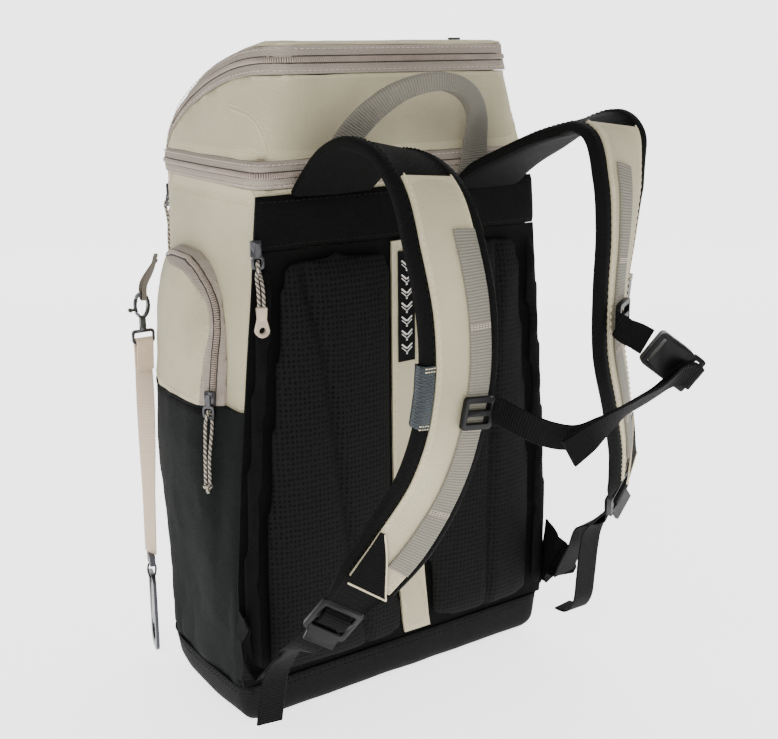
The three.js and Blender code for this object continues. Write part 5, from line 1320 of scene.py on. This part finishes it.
def stage_floor(settings):
    size = settings.floor
    rows = [(-size, 0), (size, 0)]
    sweep = [(-size, 0.0), (size * 0.55, 0.0)]
    for index in range(1, 9):
        angle = index / 8 * math.pi / 2
        sweep.append((size * 0.55 + 1000 * math.sin(angle), 1000 * (1 - math.cos(angle))))
    sweep.append((size * 0.55 + 1000, size))
    yaw = math.radians(34.94)
    ahead, side = Vector((math.sin(yaw), math.cos(yaw), 0)), Vector((math.cos(yaw), -math.sin(yaw), 0))
    points = [side * x + ahead * along + LIFT * (z - 0.3) for x, _ in rows for along, z in sweep]
    count = len(sweep)
    faces = [[i, i + 1, count + i + 1, count + i] for i in range(count - 1)]
    floor = new_piece("studio_floor", points, faces)
    graph = Graph("studio_paper")
    where = graph.add("TexCoord").outputs["Object"]
    grain = graph.noise(where, 900, 2)
    base = graph.blend(grain, (0.9, 0.9, 0.9, 1), (0.94, 0.94, 0.94, 1))
    graph.shader.inputs["Emission Color"].default_value = (1, 1, 1, 1)
    graph.shader.inputs["Emission Strength"].default_value = settings.glow
    floor.data.materials.append(graph.finish(base, grain, 0.00005, graph.calc("ADD", graph.calc("MULTIPLY", grain, 0.1), 0.8)))
    floor.data.shade_smooth()


def area_light(name, place, aim, size, power):
    data = bpy.data.lights.new(name, "AREA")
    data.energy = power
    data.shape = "RECTANGLE"
    data.size, data.size_y = size
    lamp = bpy.data.objects.new(name, data)
    bpy.context.collection.objects.link(lamp)
    lamp.location = place
    lamp.rotation_euler = (Vector(aim) - Vector(place)).to_track_quat("-Z", "Y").to_euler()


def studio_camera():
    yaw, pitch, roll = (math.radians(value) for value in (34.94, 15.34, -0.1))
    ahead = Vector((math.sin(yaw) * math.cos(pitch), math.cos(yaw) * math.cos(pitch), -math.sin(pitch)))
    level = Vector((math.cos(yaw), -math.sin(yaw), 0))
    upward = level.cross(ahead)
    right = level * math.cos(roll) + upward * math.sin(roll)
    upward = upward * math.cos(roll) - level * math.sin(roll)
    data = bpy.data.cameras.new("photo_camera")
    data.lens = 56.855
    data.sensor_width = 36
    data.clip_start = 0.01
    camera = bpy.data.objects.new("photo_camera", data)
    bpy.context.collection.objects.link(camera)
    columns = (right, upward, -ahead)
    turn = Matrix([[column[row] for column in columns] for row in range(3)]).to_4x4()
    camera.matrix_world = Matrix.Translation((-0.5232, -0.8152, 0.5028)) @ turn
    bpy.context.scene.camera = camera


# Settings


class BackpackClothSettings(bpy.types.PropertyGroup):
    fold: FloatProperty(name="Fold depth", description="Height of the creases in the cloth", default=0.0013, unit="LENGTH")
    cut: FloatProperty(name="Cloth cut", description="Spacing of the cloth's points", default=0.009, unit="LENGTH")
    stitch: FloatProperty(name="Stitch", description="Length of a stitch", default=0.003, unit="LENGTH")


class BackpackZipSettings(bpy.types.PropertyGroup):
    pitch: FloatProperty(name="Coil pitch", description="Spacing of the coil's turns", default=0.0016, unit="LENGTH")
    stitch: FloatProperty(name="Stitch", description="Length of a stitch", default=0.003, unit="LENGTH")


class BackpackPadSettings(bpy.types.PropertyGroup):
    voxel: FloatProperty(name="Voxel", description="Grain of the padded forms", default=0.005, unit="LENGTH")
    pressure: FloatProperty(name="Pressure", description="Inside pressure that swells a pad", default=3.0)
    swell: FloatProperty(name="Swell limit", description="Most that a point moves", default=0.0035, unit="LENGTH")
    seam_width: FloatProperty(name="Seam width", description="Reach of a pressed seam", default=0.004, unit="LENGTH")
    seam_depth: FloatProperty(name="Seam depth", description="Depth of a pressed seam", default=0.004, unit="LENGTH")


class BackpackStrapSettings(bpy.types.PropertyGroup):
    finer: IntProperty(name="Steps", description="Steps for each step of the frame's straps", default=5)
    stitch: FloatProperty(name="Stitch length", description="Length of a stitch in millimetres", default=3.0)
    tack_spacing: FloatProperty(name="Bar-tacks", description="Millimetres between bar-tacks", default=58.0)


class BackpackStageSettings(bpy.types.PropertyGroup):
    floor: FloatProperty(name="Floor reach", description="Millimetres that the floor reaches", default=3000.0)
    key: FloatProperty(name="Key light", description="Power of the main light", default=46.0, unit="POWER")
    glow: FloatProperty(name="Floor glow", description="Light that the studio paper gives back", default=2.2)
    fill: FloatProperty(name="Fill light", description="Power of the fill light", default=9.0, unit="POWER")


# Operators


class BACKPACK_OT_walls(bpy.types.Operator):
    """Sews the tub, the boot, the lid and the side pockets"""

    bl_idname = "backpack.walls"
    bl_label = "Walls and pockets"

    def execute(self, context):
        tub_walls(context.scene.backpack_cloth)
        pockets(context.scene.backpack_cloth)
        return {"FINISHED"}


class BACKPACK_OT_zips(bpy.types.Operator):
    """Lays the zip tapes, their coils and their stitching"""

    bl_idname = "backpack.zips"
    bl_label = "Zips"

    def execute(self, context):
        zips(context.scene.backpack_zips)
        return {"FINISHED"}


class BACKPACK_OT_back(bpy.types.Operator):
    """Pads the back and sews its panel, band, strip and label"""

    bl_idname = "backpack.back"
    bl_label = "Padded back"

    def execute(self, context):
        back_pads(context.scene.backpack_pads)
        back_panels(context.scene.backpack_cloth)
        return {"FINISHED"}


class BACKPACK_OT_straps(bpy.types.Operator):
    """Makes the shoulder straps, their webbing, the chest strap and the handle"""

    bl_idname = "backpack.straps"
    bl_label = "Straps and webbing"

    def execute(self, context):
        settings = context.scene.backpack_straps
        for side in (-1, 1):
            sewn_strap(side, settings)
            lower_band(side, settings)
        right = chest_bands(settings)
        band("chest_band_right", webbing_stops(right, 18), 60, "black_webbing", "sternum_webbing_right")
        carry_handle(settings)
        edge_tabs()
        return {"FINISHED"}


class BACKPACK_OT_lanyard(bpy.types.Operator):
    """Makes the lanyard's webbing and loop, and the clasp's gate"""

    bl_idname = "backpack.lanyard"
    bl_label = "Lanyard"

    def execute(self, context):
        band("lanyard_band", lanyard_stops(), 110, "lanyard_webbing", "lanyard_strap")
        band("lanyard_tie", lanyard_loop_stops(), 88, "loop_cloth", "lanyard_loop")
        hard_copy("clasp_gate", "dark_steel", 0.25, body="gate")
        return {"FINISHED"}


class BACKPACK_OT_hardware(bpy.types.Operator):
    """Finishes the buckles, sliders, pulls, clasp and opener"""

    bl_idname = "backpack.hardware"
    bl_label = "Hardware"

    def execute(self, context):
        for node, finish, bevel in HARD:
            hard_copy(node, finish, bevel)
        for name in ("back_cord", "front_cord"):
            row = next(row for row in CORDS if row[0] == name)
            ends = [piece + "_hard" for piece in row[-1]]
            pull_cord(row[:-1] + (ends,), context.scene.backpack_straps)
        for row in CORDS[2:]:
            pull_cord(row, context.scene.backpack_straps)
        return {"FINISHED"}


class BACKPACK_OT_stage(bpy.types.Operator):
    """Sets the pale floor, the soft lights and the camera"""

    bl_idname = "backpack.stage"
    bl_label = "Studio"

    def execute(self, context):
        settings = context.scene.backpack_stage
        stage_floor(settings)
        area_light("key_light", (-1.6, -1.5, 1.9), (0, -0.05, 0.25), (1.6, 1.6), settings.key)
        area_light("fill_light", (1.8, -1.3, 1.1), (0, 0, 0.25), (1.6, 1.6), settings.fill)
        world = bpy.data.worlds.new("studio_air")
        world.use_nodes = True
        world.node_tree.nodes["Background"].inputs["Color"].default_value = (1, 1, 1, 1)
        world.node_tree.nodes["Background"].inputs["Strength"].default_value = 0.5
        context.scene.world = world
        studio_camera()
        return {"FINISHED"}


class BACKPACK_PT_panel(bpy.types.Panel):
    """The backpack's pieces and their settings"""

    bl_idname = "BACKPACK_PT_panel"
    bl_label = "Cooler backpack"
    bl_space_type = "VIEW_3D"
    bl_region_type = "UI"
    bl_category = "Backpack"

    def draw(self, context):
        layout = self.layout
        for name in ("backpack_cloth", "backpack_zips", "backpack_pads", "backpack_straps", "backpack_stage"):
            settings = getattr(context.scene, name)
            for key in settings.__annotations__:
                layout.prop(settings, key)
        for operator in OPERATORS:
            layout.operator(operator.bl_idname)


OPERATORS = (
    BACKPACK_OT_walls,
    BACKPACK_OT_zips,
    BACKPACK_OT_back,
    BACKPACK_OT_straps,
    BACKPACK_OT_lanyard,
    BACKPACK_OT_hardware,
    BACKPACK_OT_stage,
)
SETTINGS = {
    "backpack_cloth": BackpackClothSettings,
    "backpack_zips": BackpackZipSettings,
    "backpack_pads": BackpackPadSettings,
    "backpack_straps": BackpackStrapSettings,
    "backpack_stage": BackpackStageSettings,
}


def register():
    for group in SETTINGS.values():
        bpy.utils.register_class(group)
    for name, group in SETTINGS.items():
        setattr(bpy.types.Scene, name, PointerProperty(type=group))
    for operator in OPERATORS:
        bpy.utils.register_class(operator)
    bpy.utils.register_class(BACKPACK_PT_panel)


def unregister():
    bpy.utils.unregister_class(BACKPACK_PT_panel)
    for operator in reversed(OPERATORS):
        bpy.utils.unregister_class(operator)
    for name in SETTINGS:
        delattr(bpy.types.Scene, name)
    for group in reversed(SETTINGS.values()):
        bpy.utils.unregister_class(group)


def main():
    register()
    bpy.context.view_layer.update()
    bpy.ops.backpack.walls()
    bpy.ops.backpack.zips()
    bpy.ops.backpack.back()
    bpy.ops.backpack.straps()
    bpy.ops.backpack.lanyard()
    bpy.ops.backpack.hardware()
    bpy.ops.backpack.stage()
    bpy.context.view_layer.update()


if __name__ == "__main__":
    main()
